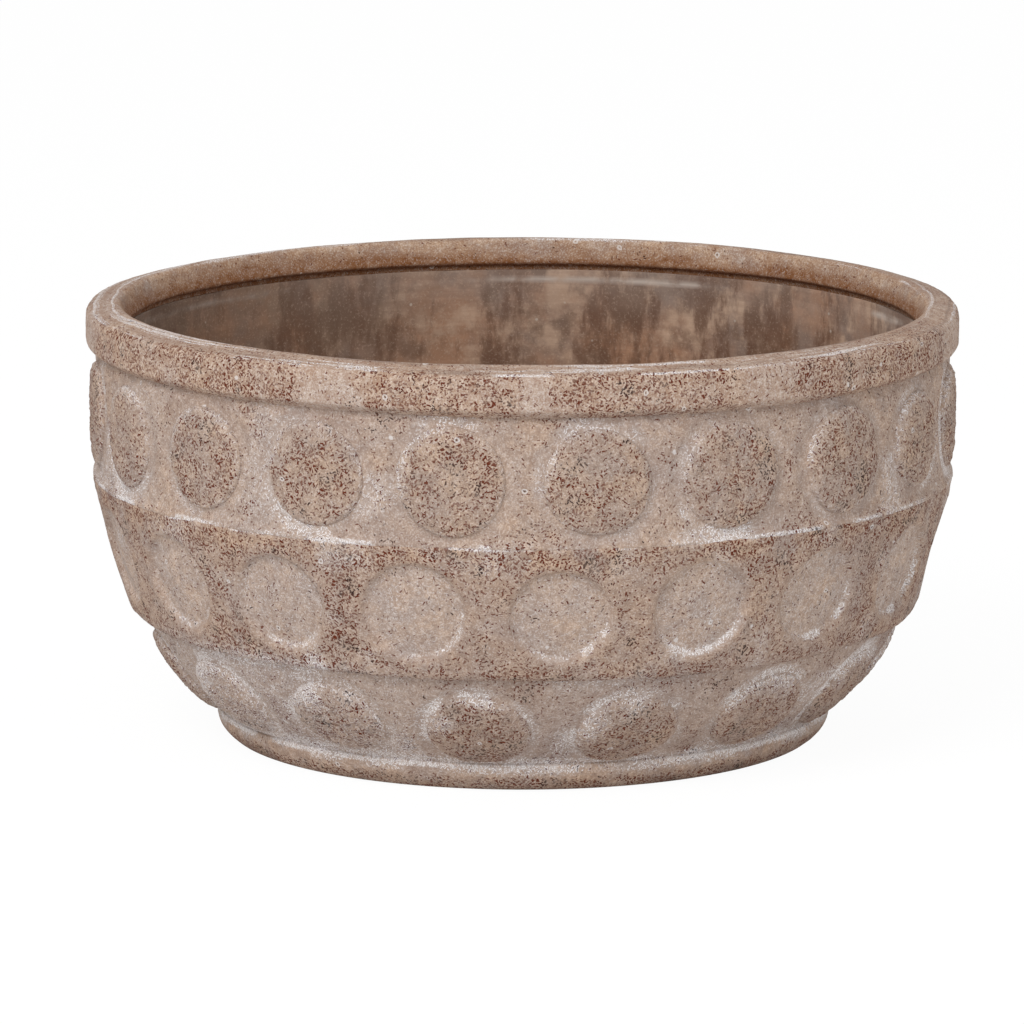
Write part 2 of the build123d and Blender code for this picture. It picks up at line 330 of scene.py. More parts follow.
# %% Rounds on a belt
class Row:
    """A row of rounds on a belt's outline, each with its own size, shift and slight lobes."""

    def __init__(self, count, start, radius, outline, drop, seed, seen):
        """Count rounds evenly from start (degrees), each drop below the top of the belt's outline.

        Seen lists what the photograph shows of a round: how many degrees and metres it is off its
        even place, and how large it is against the others.
        """
        random = np.random.default_rng(seed)
        self.count = count
        self.start = start / 360
        self.middle = self.start + np.arange(count) / count
        self.radius = radius
        line = np.array(outline)[:, :2]
        chord = line[-1] - line[0]
        self.slope = chord / np.linalg.norm(chord)
        share = 1 - drop / chord[1]
        arc = np.concatenate([[0], np.cumsum(np.linalg.norm(np.diff(line, axis=0), axis=1))])
        self.centre = np.array([np.interp(share * arc[-1], arc, line[:, k]) for k in (0, 1)])
        self.line = line
        self.climb = (line - self.centre) @ self.slope
        step = np.gradient(line, axis=0)
        self.normal = np.stack([step[:, 1], -step[:, 0]], axis=-1) / np.linalg.norm(step, axis=1)[:, None]
        self.size = 1 + 0.016 * random.uniform(-1, 1, count)
        self.shift = 0.5 * MM * random.uniform(-1, 1, (2, count))
        self.lobes = random.uniform(0, tau, (2, count))
        for index, (degrees, climb, size) in seen.items():
            self.middle[index] += degrees / 360
            self.shift[1][index] += climb
            self.size[index] *= size

    def edge(self, index, direction):
        """Radius of a round in a direction: its size times 1 + small cosines of 2 and 3 times it."""
        oval = 0.010 * np.cos(2 * direction + self.lobes[0][index])
        corner = 0.006 * np.cos(3 * direction + self.lobes[1][index])
        return self.radius * self.size[index] * (1 + oval + corner)

    def measure(self, ring):
        """For every point of a ring: metres past the nearest round's edge, its direction and number.

        The rounds are not quite evenly spaced, so the nearest of three neighbours is taken.
        """
        steps = np.round((ring.turn - self.start) * self.count).astype(int)
        index = (steps + np.array([-1, 0, 1])[:, None, None]) % self.count
        angle = tau * apart(ring.turn - self.middle[index], 0) / 360
        across = ring.radius * np.sin(angle) - self.shift[0][index]
        climb = (ring.radius * np.cos(angle) - self.centre[0]) * self.slope[0]
        up = climb + (ring.height - self.centre[1]) * self.slope[1] - self.shift[1][index]
        direction = np.arctan2(up, across)
        past = np.hypot(across, up) - self.edge(index, direction)
        nearest = np.argmin(past, axis=0)[None]
        found = (past, direction, np.broadcast_to(index, past.shape))
        return [np.take_along_axis(values, nearest, axis=0)[0] for values in found]

    def laid(self, index, across, up, lift):
        """Points on the belt, across and up from a round's centre and lifted along its normal.

        The belt falls back by r - sqrt(r^2 - across^2) towards the sides, so the place on the
        outline is looked up again with that much more height, three times over.
        """
        across = across + self.shift[0][index]
        up = up + self.shift[1][index]
        radius = np.full(np.broadcast(across, up).shape, self.centre[0])
        for _ in range(3):
            fall = radius - np.sqrt(radius**2 - across**2)
            climb = up + fall * self.slope[0]
            radius = np.interp(climb, self.climb, self.line[:, 0])
        height = np.interp(climb, self.climb, self.line[:, 1])
        out = np.interp(climb, self.climb, self.normal[:, 0])
        rise = np.interp(climb, self.climb, self.normal[:, 1])
        angle = tau * self.middle[index] + np.arcsin(across / radius)
        outer = radius + out * lift
        return np.stack([outer * np.sin(angle), -outer * np.cos(angle), height + rise * lift], axis=-1)


belt = [(rim_radius, 0, 0, FINE), (rim_radius, rim_level, 0, FINE)]
four = Row(count=4, start=0, radius=WALL, outline=belt, drop=WALL, seed=1, seen={})
print("Four even rounds stand at", (four.middle * 360).tolist(), "degrees.")

# %% [markdown]
# ## Where the rounds stand
# On the real bowl the rows are pressed by eye, so no two gaps are alike. The three lists hold what
# differs from an even row on the side that shows. The back stays even.

# %% The three rows
lower_base = (lower_base_radius, lower_level)
lower_top = (lower_top_radius, middle_level)
middle_base = (middle_base_radius, middle_level)
middle_top = (middle_top_radius, upper_level)
lower_outline = arched(lower_base, lower_top, LOWER_BULGE, FINE)
middle_outline = arched(middle_base, middle_top, MIDDLE_BULGE, FINE)
upper_outline = [(upper_radius, upper_level, 0, FINE), (upper_radius, neck_level, 0, FINE)]

UPPER_SEEN = {
    0: (0, 0, 1.01), 1: (0.3, 0, 1), 2: (1.0, 0, 1), 3: (0.8, 0, 0.94), 4: (0.9, 0, 1), 5: (0.7, 0, 1),
    6: (0.4, 0, 1), 12: (-0.6, 0, 1), 13: (-1.2, 0, 1), 14: (-1.7, 0, 1), 15: (-2.2, 0, 1),
    16: (-2.2, 0, 0.95), 17: (-1.4, 0, 0.965), 18: (-1.25, 0, 0.97), 19: (-0.6, 0, 1.02),
}
DISH_SEEN = {
    1: (-0.6, 0, 1), 2: (-1.5, 0, 1), 3: (-1.4, 0, 1), 4: (-1.2, 0, 1), 5: (-0.8, 0, 1), 6: (-0.4, 0, 1),
    12: (0.3, 0, 1), 13: (0.6, 0, 1), 14: (0.9, 0, 1), 15: (0.9, 0, 1), 16: (0.8, 0, 1), 17: (0.25, 0, 1.03),
}
LOWER_SEEN = {
    0: (-1.1, -2.4 * MM, 0.975), 1: (0.7, -2.8 * MM, 0.97), 2: (2.0, 0.4 * MM, 0.98), 3: (3.0, 0, 0.98),
    4: (3.2, 0, 1), 5: (2.6, 0, 1), 6: (1.8, 0, 1), 7: (0.9, 0, 1), 9: (-0.9, 0, 1), 10: (-1.8, 0, 1),
    11: (-2.7, 0, 1), 12: (-3.6, 0, 1), 13: (-4.3, 0, 1), 14: (-4.2, -0.8 * MM, 0.97),
    15: (-2.4, 0.8 * MM, 0.955),
}
upper_row = Row(
    count=20, start=9.4, radius=23.7 * MM, outline=upper_outline, drop=24.0 * MM, seed=11, seen=UPPER_SEEN
)
dish_row = Row(
    count=18, start=5.0, radius=23.0 * MM, outline=middle_outline, drop=31.5 * MM, seed=12, seen=DISH_SEEN
)
lower_row = Row(
    count=16, start=-6.1, radius=23.6 * MM, outline=lower_outline, drop=24.2 * MM, seed=13, seen=LOWER_SEEN
)
print("Rounds:", upper_row.count, "pats above,", dish_row.count, "dishes,", lower_row.count, "pats below.")

# %% [markdown]
# ## Node recipes
# All clay finishes are built from the same few steps, so short helpers add the nodes. A value that
# stays the same all over a surface is set on the shader's own socket, and only what varies is linked.

# %% Helpers for nodes
def linear(red, green, blue):
    """A colour as Blender wants it, from the eight-bit values of a paint chart."""
    chart = np.array([red, green, blue]) / 255
    light = np.where(chart <= 0.04045, chart / 12.92, ((chart + 0.055) / 1.055) ** 2.4)
    return (*light, 1.0)


class Recipe:
    """The nodes of a material or a world, added one call at a time; most calls give back a socket."""

    def __init__(self, owner):
        self.owner = owner
        self.owner.use_nodes = True
        self.tree = self.owner.node_tree
        self.tree.nodes.clear()

    def add(self, kind, inputs, **settings):
        """A new node with its settings. An input takes a socket or a plain value."""
        node = self.tree.nodes.new(kind)
        for name, value in settings.items():
            setattr(node, name, value)
        for key, value in inputs.items():
            if isinstance(value, bpy.types.NodeSocket):
                self.tree.links.new(value, node.inputs[key])
            else:
                node.inputs[key].default_value = value
        return node

    def sum(self, operation, first, second=0.0):
        """One sum of two numbers."""
        return self.add("ShaderNodeMath", {0: first, 1: second}, operation=operation).outputs[0]

    def step(self, value, low, high, bottom=0.0, top=1.0):
        """The value carried from low..high to bottom..top along an S curve."""
        inputs = {"Value": value, "From Min": low, "From Max": high, "To Min": bottom, "To Max": top}
        return self.add("ShaderNodeMapRange", inputs, interpolation_type="SMOOTHSTEP").outputs["Result"]

    def noise(self, scale, detail=2.0, place=None, roughness=0.5):
        """Soft noise with that many lumps per metre."""
        inputs = {"Vector": place or self.place, "Scale": scale, "Detail": detail, "Roughness": roughness}
        return self.add("ShaderNodeTexNoise", inputs).outputs["Fac"]

    def noise_colour(self, scale):
        """Three soft noises at once, as a vector from 0 to 1."""
        return self.add("ShaderNodeTexNoise", {"Vector": self.place, "Scale": scale}).outputs["Color"]

    def vector(self, operation, first, second):
        """One sum with two vectors, or with a vector and a scale."""
        inputs = {0: first, "Scale" if operation == "SCALE" else 1: second}
        return self.add("ShaderNodeVectorMath", inputs, operation=operation).outputs[0]

    def length(self, vector):
        """The length of a vector."""
        return self.add("ShaderNodeVectorMath", {0: vector}, operation="LENGTH").outputs["Value"]

    def mix(self, share, first, second):
        """Two colours mixed by a share."""
        return self.add("ShaderNodeMix", {0: share, 6: first, 7: second}, data_type="RGBA").outputs[2]

    def parts(self, vector):
        """The three coordinates of a vector, by name."""
        return self.add("ShaderNodeSeparateXYZ", {"Vector": vector}).outputs

    def level(self, vector):
        """The part of a place that lies level: its way from the axis."""
        parts = self.parts(vector)
        return self.add("ShaderNodeCombineXYZ", {"X": parts["X"], "Y": parts["Y"]}).outputs[0]

    def wrapped(self, share):
        """The place laid on a cylinder of radius 1: direction from the axis, and a share of the height."""
        height = self.sum("MULTIPLY", self.parts(self.place)["Z"], share)
        up = self.add("ShaderNodeCombineXYZ", {"Z": height}).outputs[0]
        inputs = {0: self.level(self.place)}
        around = self.add("ShaderNodeVectorMath", inputs, operation="NORMALIZE").outputs[0]
        return self.vector("ADD", around, up)

    def seen(self):
        """1 on rays from the camera and on those that a mirror or glass sends on, otherwise 0."""
        rays = self.add("ShaderNodeLightPath", {}).outputs
        sent_on = self.sum("MAXIMUM", rays["Is Glossy Ray"], rays["Is Transmission Ray"])
        return self.sum("MAXIMUM", rays["Is Camera Ray"], sent_on)

    def finish(self):
        """The four finish values of the mesh: fleck, white, warm, and grime with painted shade."""
        node = self.add("ShaderNodeAttribute", {}, attribute_name="finish")
        parts = self.add("ShaderNodeSeparateColor", {"Color": node.outputs["Color"]})
        return [*parts.outputs, node.outputs["Alpha"]]

    def moved(self, x, y, z):
        """The place, shifted, so that two noises of one scale differ."""
        return self.vector("ADD", self.place, (x, y, z))

    def close(self, colour, roughness, height, strength, distance, specular=0.3):
        """The shader at the end: colour and roughness are linked, the height goes through a bump."""
        bump = self.add("ShaderNodeBump", {"Height": height, "Strength": strength, "Distance": distance})
        inputs = {"Base Color": colour, "Roughness": roughness, "Normal": bump.outputs["Normal"]}
        inputs["Specular IOR Level"] = specular
        shader = self.add("ShaderNodeBsdfPrincipled", inputs)
        self.add("ShaderNodeOutputMaterial", {"Surface": shader.outputs["BSDF"]})
        return self.owner


def surface(name):
    """A recipe for a new material, with its place in Object coordinates at hand."""
    r = Recipe(bpy.data.materials.new(name))
    r.place = r.add("ShaderNodeTexCoord", {}).outputs["Object"]
    return r


print("Mid grey of a paint chart is", round(float(linear(128, 128, 128)[0]), 3), "of full light.")


# %% [markdown]
# ## The washed clay
# Several things lie on each other: the clay with its soft mottling, the pale wash that stayed in the
# hollows, a web of fine white strokes in it, and dark reddish flecks where gritty clay broke through.
# Each fleck is a short stroke, under a millimetre wide and about two long. Voronoi cells scatter them:
# a point knows the middle of its cell, and the cell's random colour gives the stroke its direction.

# %% Strokes in scattered directions
FLECK_RED = linear(94, 42, 25)
FLECK_DARK = linear(58, 42, 37)
BLOOM = linear(228, 225, 226)
HALO = 0.5 * MM


def strokes(r, place, scale, share, half_length, half_width):
    """Two maps: 1 on short strokes, and 1 on the strokes and in a narrow halo round them.

    The way from the cell's middle to the point is laid flat on the surface by taking off its part
    along the normal. So is the cell's random direction. What is left of the way across that
    direction is the distance from the stroke's line. Scale is the number of cells per metre. Only a
    share of them, picked by their colour, has a stroke.
    """
    cells = r.add("ShaderNodeTexVoronoi", {"Vector": place, "Scale": scale}).outputs
    normal = r.add("ShaderNodeNewGeometry", {}).outputs["Normal"]
    way = r.vector("SUBTRACT", place, cells["Position"])
    flat_way = r.vector("SUBTRACT", way, r.vector("PROJECT", way, normal))
    picked = r.vector("SUBTRACT", cells["Color"], (0.5, 0.5, 0.5))
    direction = r.vector("SUBTRACT", picked, r.vector("PROJECT", picked, normal))
    along = r.vector("PROJECT", flat_way, direction)
    off_line = r.length(r.vector("SUBTRACT", flat_way, along))
    parts = r.add("ShaderNodeSeparateColor", {"Color": cells["Color"]}).outputs
    width = r.sum("MULTIPLY", half_width, r.step(parts[0], 0.0, 1.0, 0.7, 1.3))
    ends = r.step(r.length(along), half_length * 0.8, half_length * 1.2, 1.0, 0.0)
    line = r.step(r.sum("DIVIDE", off_line, width), 0.65, 1.25, 1.0, 0.0)
    has_one = r.step(r.sum("SUBTRACT", share, parts[1]), -0.03, 0.03)
    beside = r.step(r.sum("SUBTRACT", off_line, width), 0.0, HALO, 1.0, 0.0)
    beyond = r.step(r.length(along), half_length, half_length + HALO, 1.0, 0.0)
    stroke = r.sum("MULTIPLY", r.sum("MULTIPLY", line, ends), has_one)
    return stroke, r.sum("MULTIPLY", r.sum("MULTIPLY", beside, beyond), has_one)


print("The halo of a stroke is", HALO / MM, "mm wide.")

# %% [markdown]
# ## Bare clay and the sponge
# Fired clay is never one colour. Clouds of a cooler and a warmer tone lie over each other at several
# sizes, hollows between the grains are darker, and grains that stand out are paler. On the rim a
# damp sponge went round and round, so rings of wash follow the distance from the axis. They show only
# on faces that look up, which the normal tells.

# %% Bare clay and sponge rings
SPONGE_RINGS = 190.0
GROOVE_TONE = linear(124, 106, 95)


def mottled(r, tones, warm, grime_and_shade, fine, grain):
    """The clay's colour: mixes of its five tones, each by a noise with an S curve. The grime value, which
    also carries painted shade, pulls it to the dark tone.
    """
    body, cool, warm_tone, pale, dark = tones
    cloud = r.noise(24, 4)
    drift = r.noise(85, 4, r.moved(3.1, 0.4, 1.7), 0.6)
    blotch = r.noise(170, 3, r.moved(6.6, 1.3, 0.8), 0.6)
    colour = r.mix(r.step(cloud, 0.36, 0.64), body, cool)
    warmth = r.sum("MULTIPLY", r.step(drift, 0.30, 0.65), r.sum("ADD", warm, 0.10))
    colour = r.mix(warmth, colour, warm_tone)
    colour = r.mix(r.sum("MULTIPLY", grime_and_shade, r.step(fine, 0.30, 0.62, 0.45, 1.0)), colour, dark)
    colour = r.mix(r.step(blotch, 0.36, 0.60, 0.22, 0.0), colour, dark)
    colour = r.mix(r.step(fine, 0.38, 0.60, 0.36, 0.0), colour, dark)
    colour = r.mix(r.step(grain, 0.38, 0.60, 0.42, 0.0), colour, dark)
    return r.mix(r.step(grain, 0.55, 0.68, 0.0, 0.30), colour, pale)


def sponged(r, colour, white, strength):
    """Dark grooves in the colour and rings added to the white, on faces that look up.

    The rings are a noise of (distance from the axis, a little of x), so they wander slowly.
    """
    wander = r.sum("MULTIPLY", r.noise(22, 3, r.moved(4.4, 0.6, 1.2)), 9 * MM)
    distance = r.sum("ADD", r.length(r.level(r.place)), wander)
    drawn = {"X": distance, "Y": r.sum("MULTIPLY", r.parts(r.place)["X"], 0.05)}
    wiped = r.noise(SPONGE_RINGS, 4, r.add("ShaderNodeCombineXYZ", drawn).outputs[0], 0.65)
    normal = r.add("ShaderNodeNewGeometry", {}).outputs["Normal"]
    looks_up = r.step(r.parts(normal)["Z"], 0.55, 0.95, 0.0, strength)
    grooves = r.sum("MULTIPLY", r.step(wiped, 0.34, 0.50, 0.80, 0.0), looks_up)
    rings = r.sum("MULTIPLY", r.step(wiped, 0.51, 0.62), looks_up)
    return r.mix(grooves, colour, GROOVE_TONE), r.sum("MAXIMUM", white, rings)


print("Sponge rings are about", round(1000 / SPONGE_RINGS, 1), "mm apart.")

# %% [markdown]
# ## Wash, flecks and pits
# The wash dried in a torn veil with a web of fine threads. The flecks came through it: where the wash
# is thick, each has a white halo, as the grain pushed the wash aside. Here and there a bubble left a
# dark pit with a pale ring.

# %% Wash, flecks and pits
WEB_CELLS = 880.0
LONG_CELLS = 400.0
SHORT_CELLS = 600.0
PIT_CELLS = 55.0


def washed(r, colour, white, pale, bent):
    """The wash: a veil of noise times the white value, and white threads where it is thick."""
    veil = r.step(r.noise(420, 4, r.moved(1.9, 8.8, 3.3), 0.75), 0.42, 0.60)
    patch = r.sum("MULTIPLY", white, r.sum("ADD", r.sum("MULTIPLY", veil, 0.56), 0.19))
    colour = r.mix(patch, colour, pale)
    share = r.sum("ADD", r.sum("MULTIPLY", white, 1.1), 0.08)
    web = strokes(r, bent, WEB_CELLS, share, 0.55 * MM, 0.20 * MM)[0]
    return r.mix(r.sum("MULTIPLY", web, r.step(white, 0.08, 0.5, 0.15, 0.92)), colour, BLOOM)


def flecked(r, colour, fleck, white, bent):
    """Long and short strokes in clumps, with halos in the wash. Gives the colour and the flecks."""
    clump = r.step(r.noise(110, 3, r.moved(5.2, 3.8, 7.1), 0.6), 0.38, 0.62, 0.45, 1.35)
    chance = r.sum("MULTIPLY", fleck, clump)
    thick = r.step(chance, 0.0, 1.2, 0.22 * MM, 0.44 * MM)
    long, long_halo = strokes(r, bent, LONG_CELLS, r.sum("MULTIPLY", chance, 1.1), 0.9 * MM, thick)
    elsewhere = r.moved(0.013, 0.007, 0.021)
    share = r.sum("MULTIPLY", chance, 0.9)
    short, short_halo = strokes(r, elsewhere, SHORT_CELLS, share, 0.45 * MM, 0.27 * MM)
    flecks = r.sum("MAXIMUM", long, short)
    halos = r.sum("MULTIPLY", r.sum("MAXIMUM", long_halo, short_halo), r.step(white, 0.15, 0.6, 0.0, 0.75))
    colour = r.mix(halos, colour, BLOOM)
    depth = r.step(r.noise(190, 2, r.moved(2.2, 2.9, 8.4)), 0.35, 0.62, 0.60, 1.0)
    ink = r.mix(r.step(r.noise(110, 1, r.moved(4.1, 6.9, 2.4)), 0.54, 0.70), FLECK_RED, FLECK_DARK)
    return r.mix(r.sum("MULTIPLY", flecks, depth), colour, ink), flecks


def pitted(r, colour, pale, bent):
    """A pit in the middle of each large cell, with a pale ring. Gives the colour and the pits."""
    cells = r.add("ShaderNodeTexVoronoi", {"Vector": bent, "Scale": PIT_CELLS})
    spot = r.sum("DIVIDE", cells.outputs["Distance"], PIT_CELLS)
    off_ring = r.sum("ABSOLUTE", r.sum("SUBTRACT", spot, 0.95 * MM))
    colour = r.mix(r.step(off_ring, 0.10 * MM, 0.50 * MM, 0.75, 0.0), colour, pale)
    pits = r.step(spot, 0.2 * MM, 0.6 * MM, 0.8, 0.0)
    return r.mix(pits, colour, FLECK_DARK), pits


print("Long flecks lie", 1000 / LONG_CELLS, "mm apart, and pits", round(1000 / PIT_CELLS), "mm.")

# %% [markdown]
# ## Four clays from one recipe
# All members are the same clay, but each was treated in its own way: the walls were washed, the rim
# was sponged, the pats kept their grit, and the underside is bare. One recipe with five tones makes
# all four, so they stay one family.

# %% A recipe for clay
def clay(name, body, cool, warm_tone, pale, dark, brushed=0.0):
    """A clay finish from five tones: the body, its cool and warm mottling, the wash, and the dark tone for
    grime and painted shade.

    Brushed is how strongly rings of a wiping sponge show on faces that look up.
    """
    r = surface(name)
    fleck, white, warm, grime_and_shade = r.finish()
    tones = [linear(*tone) for tone in (body, cool, warm_tone, pale, dark)]
    fine = r.noise(330, 4, r.moved(7.7, 2.1, 4.2), 0.65)
    grain = r.noise(1300, 2, r.moved(0.2, 5.3, 0.9), 0.6)
    wiggle = r.vector("SCALE", r.vector("SUBTRACT", r.noise_colour(260), (0.5, 0.5, 0.5)), 2.2 * MM)
    bent = r.vector("ADD", r.place, wiggle)

    colour = mottled(r, tones, warm, grime_and_shade, fine, grain)
    if brushed:
        colour, white = sponged(r, colour, white, brushed)
    colour = washed(r, colour, white, linear(*pale), bent)
    colour, flecks = flecked(r, colour, fleck, white, bent)
    colour, pits = pitted(r, colour, linear(*pale), bent)

    relief = r.sum("ADD", r.sum("MULTIPLY", grain, 0.25), r.sum("MULTIPLY", fine, 0.45))
    relief = r.sum("ADD", relief, r.sum("MULTIPLY", flecks, 0.22))
    relief = r.sum("SUBTRACT", relief, r.sum("MULTIPLY", pits, 0.5))
    return r.close(colour, r.step(grain, 0.2, 0.8, 0.86, 0.97), relief, 0.75, 0.9 * MM, 0.15)


washed_clay = clay(
    "washed_clay_finish",
    body=(181, 162, 149),
    cool=(171, 155, 146),
    warm_tone=(198, 170, 147),
    pale=(209, 204, 202),
    dark=(122, 98, 84),
)
rim_clay = clay(
    "rim_clay_finish",
    body=(190, 171, 156),
    cool=(180, 164, 153),
    warm_tone=(200, 173, 149),
    pale=(212, 204, 199),
    dark=(122, 80, 50),
    brushed=0.75,
)
flecked_clay = clay(
    "flecked_clay_finish",
    body=(180, 159, 144),
    cool=(168, 151, 140),
    warm_tone=(195, 167, 143),
    pale=(209, 203, 201),
    dark=(118, 94, 80),
)
bare_clay = clay(
    "bare_clay_finish",
    body=(176, 148, 130),
    cool=(166, 141, 126),
    warm_tone=(184, 152, 128),
    pale=(204, 190, 180),
    dark=(120, 90, 74),
)
print("Clay finishes:", washed_clay.name, rim_clay.name, flecked_clay.name, bare_clay.name)

# %% [markdown]
# ## The upper belt
# An upright band of clay. Round each pat runs a shallow moat, where the wash stayed, and between the
# pats the surface is lightly flecked in clumps. From here on every wall is made in the same way: an
# outline, a relief in metres that is a sum of random fields and of shapes that follow the rounds, and
# the four finish values. The number before a field says how strongly it shows.

# %% Upper wall
COLUMNS = 1120
GRAIN = 2.4 * MM
UPPER_MOAT = 8 * MM
MOAT_DEPTH = 1.2 * MM
SLIP = 1.7 * MM


def moat(past, width):
    """A groove round each round: deepest a third of the way across, nothing at both sides."""
    return -MOAT_DEPTH * fade(-0.3 * width, 0.35 * width, past) * (1 - fade(0.35 * width, width, past))


ring = Ring(
    [
        (upper_radius, upper_level - LAP, 0, FINE),
        (upper_radius, neck_level, 1.5 * MM, EDGE),
        (neck_radius, rim_level, 0, EDGE),
        (neck_radius, rim_level + LAP, 0, COARSE),
        (upper_inner_radius, rim_level + LAP, 0, COARSE),
        (upper_inner_radius, upper_level - LAP, 0, COARSE),
    ],
    COLUMNS,
)
shows = fade(0.05, 0.5, ring.out)
past, direction, _ = upper_row.measure(ring)
clumps = fade(0.10, 0.60, ring.lumps(15 * MM, 21)) * fade(3 * MM, 8 * MM, past)
undulation = 0.35 * MM * ring.lumps(48 * MM, 22) + 0.12 * MM * ring.lumps(13 * MM, 23)
grit = 0.16 * MM * ring.lumps(GRAIN, 24) * (0.3 + clumps)
hollow = moat(past, UPPER_MOAT) * (0.8 + 0.3 * ring.lumps(25 * MM, 25))
above_ledge = ring.height - upper_level
slip = SLIP * (1 - fade(0, 4 * MM, above_ledge))

in_moat = bell(2.6 * MM, 4.6 * MM, past)
left_low = 0.5 - 0.5 * np.sin(direction + 0.6)
unevenly = fade(-0.9, 0.4, ring.lumps(11 * MM, 26)) * fade(-0.8, 0.5, ring.lumps(34 * MM, 30))
at_edge = 0.36 * bell(1.0 * MM, 1.3 * MM, past) * left_low
white = (in_moat * (0.23 + 0.37 * left_low) + at_edge) * unevenly
white = white + 0.06 + 0.30 * fade(0.05, 0.7, ring.lumps(24 * MM, 27))
white = white * (1 - 0.35 * bell(-45, 45, ring.degrees))
crease = 1 - fade(0.5 * MM, 2.0 * MM, above_ledge)
broken = fade(-0.1, 0.3, ring.lumps(17 * MM, 29, 200 * MM)) * (1 - 0.5 * fade(10, 60, ring.degrees))
white = np.maximum(white, 0.9 * crease * broken)
speckle = (0.14 + 0.42 * clumps) * (1 - 0.8 * in_moat)
warm = 0.25 + 0.45 * fade(-0.2, 0.7, ring.lumps(30 * MM, 28)) * (1 - in_moat)
relief = (undulation + grit + hollow + slip) * shows
made = ring_object("upper_wall_clay", ring, relief, finish_values(ring.shape, speckle, white, warm, 0.05))
settle_in(made, "upper_wall", washed_clay)

# %% [markdown]
# ## The middle belt
# It flares outwards and overhangs the belt below with a round shoulder. The dishes were pressed in
# with a round stamp: the floor of each swells a little, its wall is steep, and the clay it pushed
# aside stands as a low ridge round it. The wash in the dishes was wiped smooth. The white crescent at
# their lower right is partly wash and partly a painted highlight on the dish wall that faces the lamp,
# stronger on the right of the bowl.

# %% Middle wall
DISH_DEPTH = 2.6 * MM
DISH_SWELL = 0.8 * MM
DISH_RIDGE = 0.4 * MM
inner_top = (upper_inner_radius, upper_level)
inner_middle = (middle_inner_radius, middle_level)

ring = Ring(
    [
        (middle_base_radius, middle_level, 6 * MM, FINE),
        *middle_outline[1:-1],
        (middle_top_radius, upper_level, 1.5 * MM, EDGE),
        (upper_radius - 1 * MM, upper_level, 0, COARSE),
        (upper_inner_radius, upper_level, 0, COARSE),
        *arched(inner_top, inner_middle, -MIDDLE_BULGE, COARSE)[1:],
        (lower_top_radius - 1 * MM, middle_level, 0, FINE),
    ],
    COLUMNS,
)
shows = fade(-0.3, 0.3, ring.out)
past, direction, index = dish_row.measure(ring)
inside = 1 - fade(-2.4 * MM, 0.3 * MM, past)
floor_swell = DISH_SWELL * (1 - fade(-20 * MM, -3 * MM, past))
dished = -inside * (DISH_DEPTH - floor_swell) + DISH_RIDGE * bell(2.5 * MM, 3.5 * MM, past)
lower_left = 0.5 + 0.5 * np.cos(direction + 2.2)
halo = 1 - fade(0.0, 1, past / (MM * (1.2 + 4.5 * lower_left)))
ledge = fade(upper_level - 14 * MM, upper_level - 3 * MM, ring.height)
foot = 1 - fade(middle_level + 2 * MM, middle_level + 12 * MM, ring.height)
left_flank = bell(-50, 40, ring.degrees)
speckle = 0.58 + 0.14 * left_flank + 0.38 * ring.lumps(26 * MM, 31) + 0.30 * ledge + 0.16 * foot
speckle = speckle * (1 - 0.88 * halo) + 0.05
grit = 0.20 * MM * ring.lumps(2.6 * MM, 32) + 0.10 * MM * ring.lumps(1.6 * MM, 33)
undulation = 0.30 * MM * ring.lumps(50 * MM, 34) + 0.10 * MM * ring.lumps(12 * MM, 35)

# Painted highlight mixed with wash: a white crescent on each dish's lower right wall, which faces the lamp.
downwards = np.cos(direction + 1.35 + 0.5 * np.sin(dish_row.lobes[0][index]))
lit_crescent = bell(-1.6 * MM, 2.0 * MM, past) * fade(0.3, 0.9, downwards)
on_right = fade(-15, 25, ring.degrees)
white = (0.30 + 0.50 * on_right) * lit_crescent * fade(-0.8, 0.3, ring.lumps(5 * MM, 36)) + 0.20 * inside
low_left = foot * bell(-40, 45, ring.degrees)
white = white + 0.25 * fade(0.2, 0.9, ring.lumps(15 * MM, 39)) * (1 - 0.6 * inside) + 0.32 * low_left
edge_line = bell(upper_level, 1.6 * MM, ring.height) * fade(0.0, 0.3, ring.lumps(15 * MM, 37, 200 * MM))
white = white + 0.85 * edge_line * (1 - 0.5 * on_right)
warm = 0.45 + 0.50 * ledge + 0.35 * ring.lumps(34 * MM, 38) * (1 - inside)
warm = warm + 0.5 * (1 - fade(-19 * MM, -7 * MM, past)) * fade(-0.6, 0.6, ring.lumps(8 * MM, 40))
relief = (undulation + grit * (1 - inside) * speckle + dished) * shows
values = finish_values(ring.shape, speckle, white, warm, 0.10 * (1 - inside) + 0.10 * foot)
made = ring_object("middle_wall_clay", ring, relief, values)
settle_in(made, "middle_wall", washed_clay)

# %% [markdown]
# ## The lower belt
# The lowest belt curves in to the foot ring. It faces downwards and is painted greyer and less warm,
# partly as painted shade and partly because it had less wiping, and its flecks are grimy. It has moats
# as the upper belt does, with white on their upper left: partly wash, partly a painted highlight.

# %% Lower wall
BASE_DROP = 1.5 * MM
LOWER_MOAT = 7 * MM
inner_floor = (floor_radius, floor_level)

